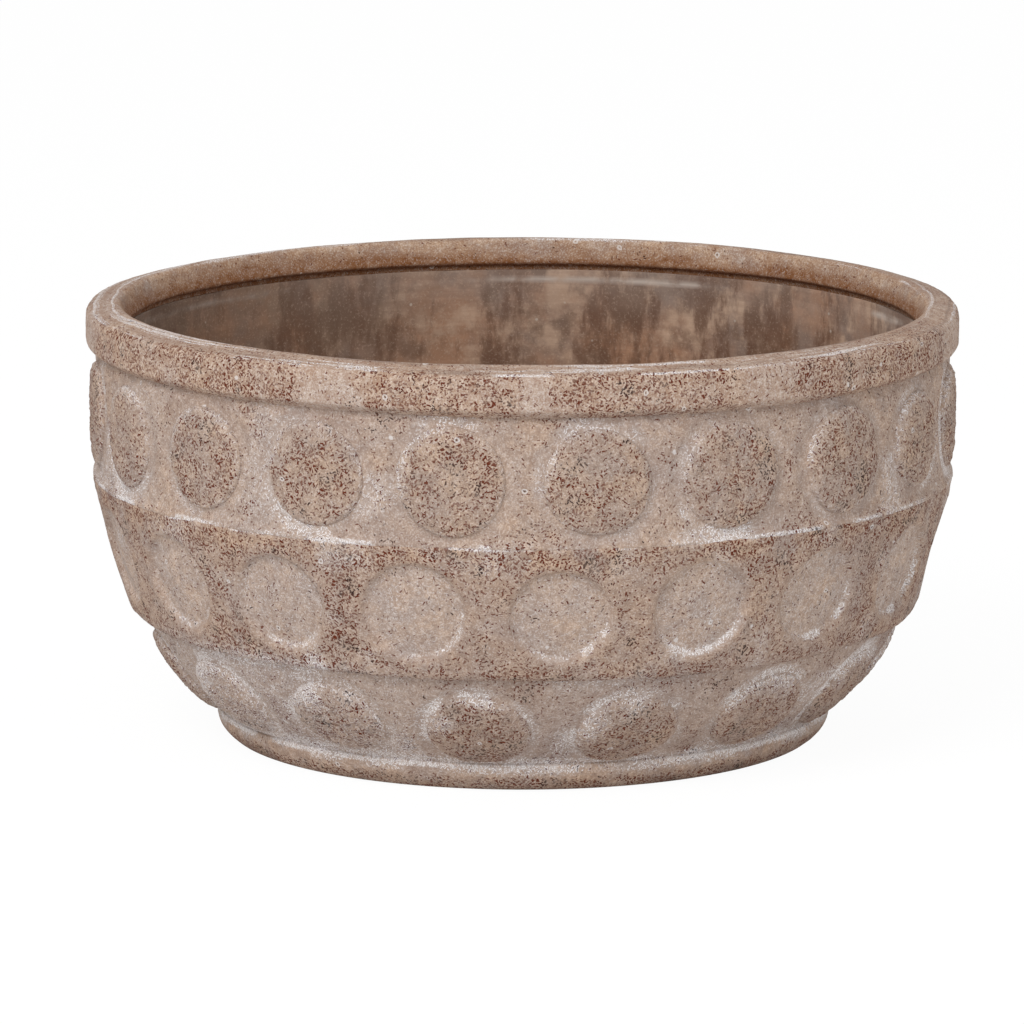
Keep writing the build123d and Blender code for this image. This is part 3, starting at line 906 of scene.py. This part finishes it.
ring = Ring(
    [
        (lower_base_radius, lower_level - BASE_DROP, 0.5 * MM, FINE),
        *lower_outline[1:],
        (lower_top_radius, middle_level + LAP, 0, COARSE),
        (middle_inner_radius, middle_level + LAP, 0, COARSE),
        *arched(inner_middle, inner_floor, -LOWER_INNER_BULGE, COARSE)[1:],
        (floor_radius, lower_level, 0, COARSE),
        (foot_top_radius - 1 * MM, lower_level, 0, FINE),
    ],
    columns=1040,
)
shows = fade(-0.6, 0.2, ring.out)
past, direction, _ = lower_row.measure(ring)
above_foot = ring.height - lower_level
steady = fade(1 * MM, 8 * MM, above_foot)
clumps = fade(0.0, 0.6, ring.lumps(16 * MM, 41)) * fade(3 * MM, 9 * MM, past)
undulation = 0.35 * MM * ring.lumps(45 * MM, 42) + 0.12 * MM * ring.lumps(12 * MM, 43)
grit = 0.16 * MM * ring.lumps(GRAIN, 44) * (0.3 + clumps)

base_line = 1 - fade(0.5 * MM, 2.5 * MM, above_foot)
in_moat = bell(2.5 * MM, 4.5 * MM, past)
lit_upper_left = 0.5 + 0.5 * np.sin(direction - 0.5)
pale_flank = bell(-50, 48, ring.degrees)
broken = fade(-0.6, 0.4, ring.lumps(11 * MM, 45))
# Painted highlight mixed with wash: white in the moat at each pat's upper left, beside the pat's lit side.
lip = bell(1.2 * MM, 1.5 * MM, past) * lit_upper_left
white = 0.10 + 0.20 * pale_flank + (in_moat * (0.10 + 0.30 * lit_upper_left) + 0.40 * lip) * broken
white = white + 0.26 * fade(0.0, 0.8, ring.lumps(20 * MM, 46)) + 0.25 * base_line
speckle = (0.12 + 0.45 * clumps) * (1 - 0.8 * in_moat)
relief = (undulation + grit + moat(past, LOWER_MOAT)) * shows * steady
# Painted shade mixed with less wiping: the low warm value keeps this downward-facing belt greyer.
values = finish_values(ring.shape, speckle, white, 0.10, 0.06 + 0.30 * clumps)
made = ring_object("lower_wall_clay", ring, relief, values)
settle_in(made, "lower_wall", washed_clay)

# %% [markdown]
# ## The foot ring
# The bowl stands on a coil of clay. Its side bulges, and a small ledge at its top has a white line,
# partly wash and partly a painted highlight where the ledge catches the light. The upper part of the
# side is painted paler, partly wash and partly painted light. Its lower edge is worn, so dark clay and
# grime show there. The bulge is a power of the parabola 4t(1-t), which is fuller near both ends than
# the parabola itself.

# %% Foot ring
FOOT_PARTS = 10
FOOT_LEDGE = 1.5 * MM
FOOT_BULGE = 3.4 * MM
LINE_DROP = 1.9 * MM

t = np.linspace(0, 1, FOOT_PARTS + 1)
straight = foot_base_radius + (foot_top_radius - foot_base_radius) * t
side_radius = straight + FOOT_BULGE * (4 * t * (1 - t)) ** 0.8
foot_side = [(radius, height, 0, FINE) for radius, height in zip(side_radius, lower_level * t)]
ring = Ring(
    [
        *foot_side[:-2],
        (foot_top_radius + FOOT_LEDGE, lower_level - 1.8 * MM, 0.8 * MM, EDGE),
        (foot_top_radius - 1 * MM, lower_level, 0, 2 * MM),
        (foot_top_radius - 1 * MM, lower_level + LAP, 0, 2 * MM),
        (foot_base_radius - FOOT_WIDTH, lower_level + LAP, 0, 2 * MM),
        (foot_base_radius - FOOT_WIDTH, 0, 2 * MM, 4 * MM),
    ],
    columns=960,
)
shows = fade(-0.2, 0.4, ring.out)
low = 1 - fade(3.5 * MM, 8 * MM, ring.height + 2 * MM * ring.lumps(14 * MM, 56))
undulation = 0.30 * MM * ring.lumps(40 * MM, 51) + 0.10 * MM * ring.lumps(9 * MM, 52)
patches = ring.lumps(22 * MM, 53)
# Painted highlight mixed with wash: the white line on the ledge at the top of the foot.
lit_top_line = bell(lower_level - LINE_DROP, 1.8 * MM, ring.height) * shows
white = 2.2 * lit_top_line * fade(-0.8, -0.3, ring.lumps(28 * MM, 54, 100 * MM))
# Painted light mixed with wash: the upper part of the foot's side is paler.
white = white + 0.60 * fade(6 * MM, 10.5 * MM, ring.height) * fade(-0.9, 0.2, ring.lumps(16 * MM, 55))
speckle = (0.04 + 0.95 * low) * shows + 0.04 + 0.12 * patches
grime_and_shade = 0.62 * low * fade(-0.7, 0.5, patches)
relief = undulation * shows * fade(0, 2 * MM, ring.height)
values = finish_values(ring.shape, speckle, white, 0.75 + 0.3 * patches, grime_and_shade)
made = ring_object("foot_ring_clay", ring, relief, values)
settle_in(made, "foot_ring", washed_clay)

# %% [markdown]
# ## The floor slab
# It shows only from below, inside the foot ring. Its underside still has the slight rings of the
# turntable it was beaten out on.

# %% Floor slab
ring = Ring(
    [
        (floor_radius, lower_level, 0, COARSE),
        (floor_radius, floor_level, 0, COARSE),
        (DRAIN_RADIUS, floor_level, 0, 3 * MM),
        (DRAIN_RADIUS, lower_level, 1 * MM, 1.3 * MM),
    ],
    columns=600,
)
below = fade(0.2, 0.8, -ring.rise)
turning = 0.12 * MM * np.sin(ring.radius / (1.1 * MM)) + 0.10 * MM * ring.lumps(30 * MM, 61)
values = finish_values(ring.shape, 0.12 + 0.1 * ring.lumps(25 * MM, 62), 0.1, 0.4, 0.2)
made = ring_object("bowl_floor_clay", ring, turning * below, values)
settle_in(made, "bowl_floor", bare_clay)

# %% [markdown]
# ## The rolled rim
# A thick roll whose top slopes gently outwards. Its inner edge leans in over the wall as a lip, with
# an undercut below it. The top was levelled with a damp sponge, which left fine rings and a white line
# on the outer corner at the front. The outer face is thick with flecks, apart from a few bare
# stretches. The list gives each stretch's middle and half width in degrees from the front.

# %% Rim
RIM_SLOPE = 3.0 * MM
RIM_SLOPE_WIDTH = 12 * MM
BARE_STRETCHES = ((-25.5, 5), (1.5, 2.5), (33, 5), (78, 8), (118, 4), (152, 7), (196, 5), (231, 8), (279, 6))

ring = Ring(
    [
        (neck_radius, rim_level, 0, EDGE),
        (rim_radius, rim_level + RIM_FLARE_HEIGHT, 2.8 * MM, FINE),
        (rim_radius, top_level - RIM_SLOPE, 5.0 * MM, FINE),
        (rim_radius - RIM_SLOPE_WIDTH, top_level, 3 * MM, FINE),
        (rim_top_inner_radius, top_level, 4 * MM, FINE),
        (lip_radius, lip_level, 1.5 * MM, EDGE),
        (upper_inner_radius, undercut_level, 0, 2 * MM),
        (upper_inner_radius, rim_level, 0, COARSE),
    ],
    columns=1240,
)
face = fade(0.10, 0.60, ring.out)
top = fade(0.5, 0.95, ring.rise)
inner = fade(0.2, 0.7, -ring.out)
ragged = 0.35 * ring.lumps(9 * MM, 74)
bare = np.zeros(ring.shape)
for middle, half_width in BARE_STRETCHES:
    away = np.abs(apart(ring.turn, middle)) / half_width
    bare = np.maximum(bare, 1 - fade(0.55, 1.15, away + ragged))
patches = ring.lumps(20 * MM, 71)
right_flank = bell(60, 25, ring.degrees)
speckle = face * (0.84 + 0.28 * patches + 0.15 * right_flank) * (1 - 0.85 * bare) + 0.06
sponge = 0.07 * MM * ring.lumps(160 * MM, 75, 1.6 * MM) * top
undulation = 0.28 * MM * ring.lumps(60 * MM, 76) + 0.12 * MM * ring.lumps(14 * MM, 77)
grit = (0.20 * MM * ring.lumps(GRAIN, 78) + 0.10 * MM * ring.lumps(1.5 * MM, 79)) * speckle

at_front = 1 - 0.85 * fade(16, 38, np.abs(ring.degrees))
corner = bell(0.82, 0.13, ring.rise) * fade(0.3, 0.5, ring.out) * at_front
white = 0.95 * corner * fade(-0.3, 0.2, ring.lumps(30 * MM, 80, 400 * MM)) + (0.05 + 0.12 * bare) * face
# Painted shade: a dark line at the lip's lower edge, and on the faces that look down under the lip.
lip_shade_line = bell(lip_level, 2.2 * MM, ring.height) * fade(0.0, 0.3, -ring.out)
shade_under_lip = fade(0.1, 0.6, -ring.rise) * (ring.radius < upper_inner_radius + 1 * MM)
low_part = 1 - fade(lip_level + 1 * MM, top_level - 2 * MM, ring.height)
smears = 0.28 * ring.lumps(34 * MM, 81, 5 * MM) + 0.22 * ring.lumps(9 * MM, 82, 3 * MM)
grime_and_shade = 0.7 * lip_shade_line + 0.7 * shade_under_lip + (0.12 + 0.95 * low_part + 1.2 * smears) * inner
grime_and_shade = grime_and_shade + (0.14 + 0.6 * smears) * top * (1 - inner)
warm = 0.35 * face * (1 - bare) + 1.0 * inner + 0.25 * patches
values = finish_values(ring.shape, speckle, white, warm, grime_and_shade)
made = ring_object("rim_clay_roll", ring, undulation + grit + sponge, values)
settle_in(made, "rim", rim_clay)

# %% [markdown]
# ## One pat
# Each pat is a round of gritty clay, pressed on by hand: slightly domed, soft at the edge and sunk
# into the wall. Its front is a dome over a polar grid, 1 - t^p under a p-th root, and its back closes
# the pat inside the wall, so that every pat is a closed solid of its own. The grid's rings are the
# same curve as the row's uneven edge, drawn smaller, and the row lays them on the curved belt. The
# lower pats were washed much more than the upper ones and stand out less. Each pat is paler, with
# fewer flecks, on its upper left: partly wash and partly a painted highlight on the side facing the lamp.

# %% One pat
PAT_COLUMNS = 104
BACK_ROWS = 4


def pat_profile(rise, sink, power=3.6, rows=26):
    """Distance from the centre and lift: (rise + sink) (1 - t^p)^(1/p) - sink, then a flat back."""
    angle = np.linspace(0, pi / 2, rows)
    t = np.sin(angle) ** 0.9
    lift = (rise + sink) * np.maximum(1 - t**power, 0) ** (1 / power) - sink
    back = np.linspace(1, 0, BACK_ROWS + 1)[:-1]
    share = np.concatenate([t[1:], 0.97 * back])
    height = np.concatenate([lift[1:], np.full(BACK_ROWS, -sink - 1.5 * MM)])
    return share[None, :], height[None, :]


def one_pat(row, k, rise, sink, fleck, washed, grime_and_shade, seed):
    """Points and finish values of the k-th pat: its polar grid, then the middles of both sides.

    Washed is how much white lies on the upper left of it: partly wash, partly a painted highlight on the
    side that faces the lamp.
    """
    columns = PAT_COLUMNS
    share, lift = pat_profile(rise, sink)
    random = np.random.default_rng(seed + k)
    direction = (tau * np.arange(columns) / columns)[:, None]
    reach = share * row.edge(k, direction) * 1.01
    polar = (direction / tau, row.radius * share, tau * row.radius)
    lumps = field(*polar, (9 * MM, 7 * MM), seed + 50 + k)
    grit = field(*polar, (2.6 * MM, 1.6 * MM), seed + 90 + k)
    patch = field(*polar, (16 * MM, 12 * MM), seed + 130 + k)

    middle = fade(0.0, 0.35, share)
    in_front = np.arange(share.size)[None, :] < share.size - BACK_ROWS
    uneven = (0.24 * MM * lumps + 0.48 * MM * grit) * middle * (1 - fade(0.95, 1.0, share))
    tilt = 0.25 * MM * share * np.cos(direction + random.uniform(0, tau))
    height = lift + (uneven + tilt) * in_front
    grid = row.laid(k, reach * np.cos(direction), reach * np.sin(direction), height)
    middles = row.laid(k, np.zeros(2), np.zeros(2), np.array([rise, lift[0, -1]]))

    edge = fade(0.84, 0.99, share)
    # Painted highlight mixed with wash: each pat is paler, with fewer flecks, on its upper left, which faces
    # the lamp.
    lit_side = fade(0.2, 0.9, np.cos(direction - 2.2 + random.uniform(-0.6, 0.6)))
    speckle = (fleck + 0.10 * random.uniform(-1, 1)) * (1 + 0.28 * patch * middle) * (1 - 0.55 * edge)
    pale = lit_side * fade(0.70 - 0.6 * washed, 0.95, share) * fade(-0.7, 0.5, patch)
    flank = washed * bell(-50, 48, apart(row.middle[k], 0))
    white = (0.15 + 0.30 * washed) * pale + 0.15 * edge + 0.08 + 0.30 * flank
    speckle = speckle * (1 - 0.6 * pale) * (1 - 0.35 * flank)
    values = finish_values(grid.shape[:2], speckle, white, 0.50 + 0.35 * patch, grime_and_shade)
    ends = np.array([[fleck, 0, 0.35, grime_and_shade], [0, 0, 0, 0]])
    return np.concatenate([grid.reshape(-1, 3), middles]), np.concatenate([values.reshape(-1, 4), ends])


upper_look = {"rise": 2.8 * MM, "sink": 2.0 * MM, "fleck": 0.66, "washed": 0.15, "grime_and_shade": 0.08, "seed": 200}
lower_look = {"rise": 2.4 * MM, "sink": 2.0 * MM, "fleck": 0.74, "washed": 0.80, "grime_and_shade": 0.20, "seed": 400}
example = one_pat(upper_row, 0, **upper_look)
print("One pat has", len(example[0]), "points.")

# %% [markdown]
# ## Two rows of pats
# All pats of a row go into one mesh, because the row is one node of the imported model. The faces of
# one pat are numbered once, and each further pat adds its shift to the numbers.

# %% Two rows of pats
def pat_faces(columns, rows, count):
    """Corner numbers of so many pats: the grid of each, and a fan to the middle of each side."""
    c, r = np.meshgrid(np.arange(columns), np.arange(rows - 1), indexing="ij")
    right = (c + 1) % columns
    quads = np.stack([c * rows + r, c * rows + r + 1, right * rows + r + 1, right * rows + r], axis=-1)
    start = np.arange(columns) * rows
    follow = np.roll(start, -1)
    front_middle = np.full(columns, columns * rows)
    fronts = np.stack([front_middle, start, follow], axis=-1)
    backs = np.stack([front_middle + 1, follow + rows - 1, start + rows - 1], axis=-1)
    shift = (np.arange(count) * (columns * rows + 2))[:, None, None]
    all_quads = (quads.reshape(1, -1, 4) + shift).reshape(-1, 4)
    all_fans = (np.concatenate([fronts, backs])[None] + shift).reshape(-1, 3)
    return [all_quads, all_fans]


def pats_object(name, row, look):
    """All the pats of a row in one mesh. The look is what one_pat takes."""
    pats = [one_pat(row, k, **look) for k in range(row.count)]
    points = np.concatenate([places for places, _ in pats])
    finish = np.concatenate([values for _, values in pats])
    rows = (len(pats[0][0]) - 2) // PAT_COLUMNS
    return mesh_object(name, settled(points), pat_faces(PAT_COLUMNS, rows, row.count), finish)


made = pats_object("upper_pats", upper_row, upper_look)
settle_in(made, "upper_discs", flecked_clay)
made = pats_object("lower_pats", lower_row, lower_look)
settle_in(made, "lower_discs", flecked_clay)

# %% [markdown]
# ## The coat inside
# A brown coat was brushed on to hold water. It ran down the wall before it set, so it has upright
# stains, darker at the bottom of each run. The pattern stretches along the height: the place is put
# on a cylinder, and its height counts for little. The floor has no runs, so they fade out there.

# %% Lining finish
RUNS_START = 90 * MM
RUNS_FULL = 165 * MM
SPECK_CELLS = 70.0


def coat():
    """Satin brown coat: upright runs, smoky clouds, pale specks, fine brush marks, and grime with painted
    shade.
    """
    r = surface("lining_coat_finish")
    _, white, _, grime_and_shade = r.finish()
    on_wall = r.step(r.length(r.level(r.place)), RUNS_START, RUNS_FULL)
    runs = r.noise(7.0, 6, r.wrapped(2.0), 0.65)
    brush = r.noise(5.0, 3, r.wrapped(60.0), 0.6)
    smoke = r.noise(38, 6, None, 0.62)
    cloud = r.noise(16, 4, r.moved(0.3, 0.8, 0.1), 0.6)
    blot = r.noise(60, 4, r.moved(1.4, 0.2, 2.6), 0.6)
    grain = r.noise(900, 3, r.moved(2.2, 0.1, 0.7), 0.7)

    colour = r.mix(r.step(cloud, 0.38, 0.60), linear(170, 130, 103), linear(140, 120, 108))
    colour = r.mix(r.step(smoke, 0.46, 0.60, 0.0, 0.85), colour, linear(206, 175, 150))
    run_share = r.sum("MULTIPLY", r.step(runs, 0.47, 0.58, 0.0, 0.82), on_wall)
    colour = r.mix(run_share, colour, linear(90, 55, 35))
    colour = r.mix(r.step(blot, 0.50, 0.64, 0.0, 0.50), colour, linear(98, 70, 52))
    wash_share = r.sum("MULTIPLY", white, r.step(blot, 0.35, 0.55, 0.3, 1.0))
    colour = r.mix(wash_share, colour, linear(214, 202, 192))
    # The grime value darkens the coat: some grime, and painted shade on the left side and high under the
    # lip.
    grime_and_shade_share = r.sum("MULTIPLY", grime_and_shade, r.step(smoke, 0.3, 0.6, 0.4, 1.0))
    colour = r.mix(grime_and_shade_share, colour, linear(100, 80, 66))
    brush_share = r.sum("MULTIPLY", r.step(brush, 0.40, 0.62, 0.20, 0.0), on_wall)
    colour = r.mix(brush_share, colour, linear(100, 74, 58))
    colour = r.mix(r.step(grain, 0.52, 0.70, 0.0, 0.30), colour, linear(196, 172, 152))

    cells = r.add("ShaderNodeTexVoronoi", {"Vector": r.place, "Scale": SPECK_CELLS})
    speck = r.step(r.sum("DIVIDE", cells.outputs["Distance"], SPECK_CELLS), 0.4 * MM, 1.0 * MM, 1.0, 0.0)
    colour = r.mix(r.sum("MULTIPLY", speck, 0.6), colour, linear(190, 178, 166))
    relief = r.sum("ADD", r.sum("MULTIPLY", grain, 0.15), r.sum("MULTIPLY", smoke, 0.6))
    return r.close(colour, r.step(smoke, 0.3, 0.7, 0.50, 0.68), relief, 0.35, 0.5 * MM, 0.35)


lining_coat = coat()
print("The coat inside is", lining_coat.name)

# %% [markdown]
# ## The lining's shape
# The coat is a skin a millimetre thick that follows the inside from just under the lip down to the
# drain hole. Its outline runs down the near side and back up the far side, a hair off the clay, so
# that the two never share a surface. A pale line marks where the wet coat stopped.

# %% Lining
SKIN = 0.15 * MM
hole = DRAIN_RADIUS + LINING_DRAIN_CLEARANCE
near_top = (upper_inner_radius - LINING, upper_level)
near_middle = (middle_inner_radius - LINING, middle_level)
near_floor = (floor_radius - LINING, floor_level + LINING)
far_floor = (floor_radius - SKIN, floor_level + SKIN)
far_middle = (middle_inner_radius - SKIN, middle_level)
far_top = (upper_inner_radius - SKIN, upper_level)

ring = Ring(
    [
        (upper_inner_radius - SKIN, lining_top, 0, EDGE),
        (upper_inner_radius - LINING, lining_top, 0.3 * MM, 2.2 * MM),
        (*near_top, 0, 2.2 * MM),
        *arched(near_top, near_middle, -MIDDLE_BULGE, 2.6 * MM)[1:-1],
        *arched(near_middle, near_floor, -LOWER_INNER_BULGE, 2.6 * MM),
        (hole, floor_level + LINING, 0.3 * MM, 1 * MM),
        (hole, floor_level + SKIN, 0, 2 * COARSE),
        (*far_floor, 0, 2 * COARSE),
        *arched(far_floor, far_middle, LOWER_INNER_BULGE, COARSE)[1:-1],
        *arched(far_middle, far_top, MIDDLE_BULGE, COARSE),
    ],
    columns=560,
)
skin = (ring.along < 0.45) * fade(0.1, 0.5, np.maximum(-ring.out, ring.rise))
sag = 0.25 * MM * ring.lumps(34 * MM, 91, 60 * MM) + 0.08 * MM * ring.lumps(9 * MM, 92, 30 * MM)
away = fade(20 * MM, 60 * MM, ring.radius)
shaded_left = 0.5 - 0.5 * np.sin(tau * ring.turn)
high = fade(lining_top - 60 * MM, lining_top - 15 * MM, ring.height)
broken = fade(-0.5, 0.4, ring.lumps(30 * MM, 94))
pale_line = 0.7 * bell(lining_top - 4.5 * MM, 2.2 * MM, ring.height) * broken
pale_line = pale_line + 0.18 * fade(lining_top - 30 * MM, lining_top, ring.height)
# Painted shade: the grime value is high on the left of the inside, where the rim shades it, and more so near
# the top.
grime_and_shade = 0.12 + (0.45 + 0.40 * high) * shaded_left**2 + 0.15 * ring.lumps(60 * MM, 93)
values = finish_values(ring.shape, 0, pale_line, 0, grime_and_shade)
made = ring_object("inner_lining_coat", ring, sag * skin * away, values)
settle_in(made, "inner_lining", lining_coat)

# %% [markdown]
# ## The stopper
# A moulded rubber plug closes the drain hole. Its stem and head are one turned outline, and the
# finger tab is a rounded plate: a superellipse around, which narrows towards the top.

# %% Rubber and sizes of the stopper
def rubber():
    """Matt black rubber with a dusty bloom."""
    r = surface("stopper_rubber_finish")
    bloom = r.noise(120, 4, None, 0.6)
    colour = r.mix(r.step(bloom, 0.35, 0.75), linear(34, 33, 32), linear(62, 59, 56))
    return r.close(colour, r.step(bloom, 0.3, 0.7, 0.55, 0.80), r.noise(1400, 2), 0.25, 0.2 * MM, 0.35)


STEM_RADIUS = DRAIN_RADIUS - 0.08 * MM
HEAD_RADIUS = DRAIN_RADIUS + 6 * MM
HEAD_HEIGHT = 4 * MM
TAB_LENGTH = 20 * MM
TAB_THICKNESS = 5 * MM
TAB_HEIGHT = 13 * MM
TAB_ROOT = 1 * MM
POLE = 0.4 * MM
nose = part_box("drain_stopper")[0].z
seat = floor_level + LINING
print("The stem reaches", round((seat - nose) / MM, 1), "mm down from the seat.")

# %% [markdown]
# ## Shape of the stopper
# Both parts are grids that close round the axis, with a middle point at each end. The turned body
# runs from the nose up to the head, and the tab starts a millimetre inside the head.

# %% Stopper
def stopper_points(columns=96):
    """The turned body, from the middle of the nose round to the middle of the head."""
    outline = rounded_loop(
        [
            (POLE, nose, 0, 1.2 * MM),
            (STEM_RADIUS - 1.5 * MM, nose, 0.4 * MM, EDGE),
            (STEM_RADIUS, nose + 1.5 * MM, 0.4 * MM, 1.2 * MM),
            (STEM_RADIUS, seat, 0, 1.2 * MM),
            (HEAD_RADIUS, seat, 0.6 * MM, EDGE),
            (HEAD_RADIUS, seat + HEAD_HEIGHT, 1.5 * MM, 1.0 * MM),
            (POLE, seat + HEAD_HEIGHT, 0, 20 * MM),
        ]
    )
    line = outline[outline[:, 0] > POLE + 0.01 * MM]
    radius, height = line.T
    angle = (tau * np.arange(columns) / columns)[:, None]
    points = np.stack([radius * np.sin(angle), -radius * np.cos(angle), height + 0 * angle], axis=-1)
    return points, np.array([[0, 0, height[0]], [0, 0, height[-1]]])


def tab_points(columns=72, rows=18):
    """The tab: at every level a superellipse |x/a|^4 + |y/b|^4 = 1 whose size rounds off at the top."""
    angle = (tau * np.arange(columns) / columns)[:, None]
    level = np.linspace(0, 1, rows)[None, :]
    t = np.sin(level * pi / 2)
    reach = (1 - np.maximum((t - 0.55) / 0.45, 0) ** 2.6) ** 0.5
    corner = np.abs(np.cos(angle)) ** 4 + np.abs(np.sin(angle)) ** 4
    x = TAB_LENGTH / 2 * np.cos(angle) / corner**0.25 * (0.35 + 0.65 * reach)
    y = TAB_THICKNESS / 2 * np.sin(angle) / corner**0.25 * (0.45 + 0.55 * reach)
    root = seat + HEAD_HEIGHT - TAB_ROOT
    z = root + (TAB_HEIGHT + TAB_ROOT) * t + 0 * angle
    return np.stack([x, y, z], axis=-1), np.array([(0, 0, root), (0, 0, root + TAB_ROOT + TAB_HEIGHT)])


def tube_faces(columns, rows, shift):
    """Faces of a grid that closes round the axis and has a fan to a middle point at both ends."""
    c, r = np.meshgrid(np.arange(columns), np.arange(rows - 1), indexing="ij")
    right = (c + 1) % columns
    quads = np.stack([c * rows + r, right * rows + r, right * rows + r + 1, c * rows + r + 1], axis=-1)
    start = np.arange(columns) * rows
    follow = np.roll(start, -1)
    first = np.full(columns, columns * rows)
    low = np.stack([first, follow, start], axis=-1)
    high = np.stack([first + 1, start + rows - 1, follow + rows - 1], axis=-1)
    return quads.reshape(-1, 4) + shift, np.concatenate([low, high]) + shift


body, body_ends = stopper_points()
tab, tab_ends = tab_points()
body_quads, body_fans = tube_faces(*body.shape[:2], 0)
tab_quads, tab_fans = tube_faces(*tab.shape[:2], body.size // 3 + 2)
points = np.concatenate([body.reshape(-1, 3), body_ends, tab.reshape(-1, 3), tab_ends])
faces = [np.concatenate([body_quads, tab_quads]), np.concatenate([body_fans, tab_fans])]
made = mesh_object("drain_stopper_rubber", points, faces, np.zeros((len(points), 4)))
settle_in(made, "drain_stopper", rubber(), "stopper")

# %% [markdown]
# ## The floor of the studio
# The studio is plain: a pale floor that looks white to the camera and still keeps the soft shadow. So
# its finish is mostly a white glow on rays from the camera, and plain paper for all others.

# %% Floor
FLOOR_HALF = 12.0
FLOOR_DROP = 0.3 * MM
WHITE = (1, 1, 1, 1)
PAPER = (0.9, 0.9, 0.9, 1)
GLOW = 1.02
GLOW_SHARE = 0.93


def floor_finish():
    """A pale floor that looks white to the camera and still takes the object's shadow."""
    r = Recipe(bpy.data.materials.new("studio_floor"))
    paper = r.add("ShaderNodeBsdfDiffuse", {"Color": PAPER}).outputs[0]
    glow = r.add("ShaderNodeEmission", {"Color": WHITE, "Strength": GLOW}).outputs[0]
    share = r.sum("MULTIPLY", r.seen(), GLOW_SHARE)
    both = r.add("ShaderNodeMixShader", {0: share, 1: paper, 2: glow}).outputs[0]
    r.add("ShaderNodeOutputMaterial", {"Surface": both})
    return r.owner


corners = FLOOR_HALF * np.array([(-1, -1), (1, -1), (1, 1), (-1, 1)])
mesh = bpy.data.meshes.new("studio_floor")
mesh.from_pydata([(x, y, -FLOOR_DROP) for x, y in corners], [], [(0, 1, 2, 3)])
mesh.materials.append(floor_finish())
floor = bpy.data.objects.new("studio_floor", mesh)
bpy.context.scene.collection.objects.link(floor)
print("The floor is", 2 * FLOOR_HALF, "m wide.")

# %% [markdown]
# ## Sky and lamps
# An even sky gives most of the light, a large lamp high at the left draws the relief, and a weak one
# at the right opens the shadows. To the camera the sky is white, and it lights the bowl with less.

# %% Sky and lamps
SKY_LIGHT = 0.62
BOWL_MIDDLE = (0, 0, 0.1)

sky = Recipe(bpy.data.worlds.new("studio_sky"))
strength = sky.add("ShaderNodeMapRange", {"Value": sky.seen(), "To Min": SKY_LIGHT, "To Max": 1.0})
light = sky.add("ShaderNodeBackground", {"Color": WHITE, "Strength": strength.outputs["Result"]})
sky.add("ShaderNodeOutputWorld", {"Surface": light.outputs["Background"]})
bpy.context.scene.world = sky.owner


def lamp(name, place, size, power):
    """A square area lamp at a place, turned to face the bowl. Size in metres, power in watts."""
    light = bpy.data.lights.new(name, "AREA")
    light.size = size
    light.energy = power
    made = bpy.data.objects.new(name, light)
    bpy.context.scene.collection.objects.link(made)
    made.location = place
    way = Vector(BOWL_MIDDLE) - Vector(place)
    made.rotation_euler = way.to_track_quat("-Z", "Y").to_euler()
    print(name, "stands", round(way.length, 2), "m away.")


lamp("key_lamp", place=(-1.15, -2.2, 2.2), size=1.6, power=62)
lamp("fill_lamp", place=(2.4, -1.8, 1.2), size=1.8, power=12)

# %% [markdown]
# ## The camera
# The width of the rim's ellipse against its height gives how steeply the camera looks down. A long
# lens from far away keeps the ellipses alike, as in the photograph.

# %% Camera
ELEVATION = radians(10.74)
DISTANCE = 3.2
AIM = (-4.94 * MM, 0.0, 100 * MM)
SENSOR_WIDTH = 36
FOCAL_LENGTH = 243.9

camera_data = bpy.data.cameras.new("camera")
camera_data.sensor_width = SENSOR_WIDTH
camera_data.lens = FOCAL_LENGTH
camera = bpy.data.objects.new("camera", camera_data)
bpy.context.scene.collection.objects.link(camera)
camera.location = (AIM[0], AIM[1] - DISTANCE * cos(ELEVATION), AIM[2] + DISTANCE * sin(ELEVATION))
camera.rotation_euler = (pi / 2 - ELEVATION, 0, 0)
bpy.context.scene.camera = camera
bpy.context.scene.view_settings.view_transform = "Standard"
print("The camera looks down by", round(ELEVATION * 180 / pi, 2), "degrees.")
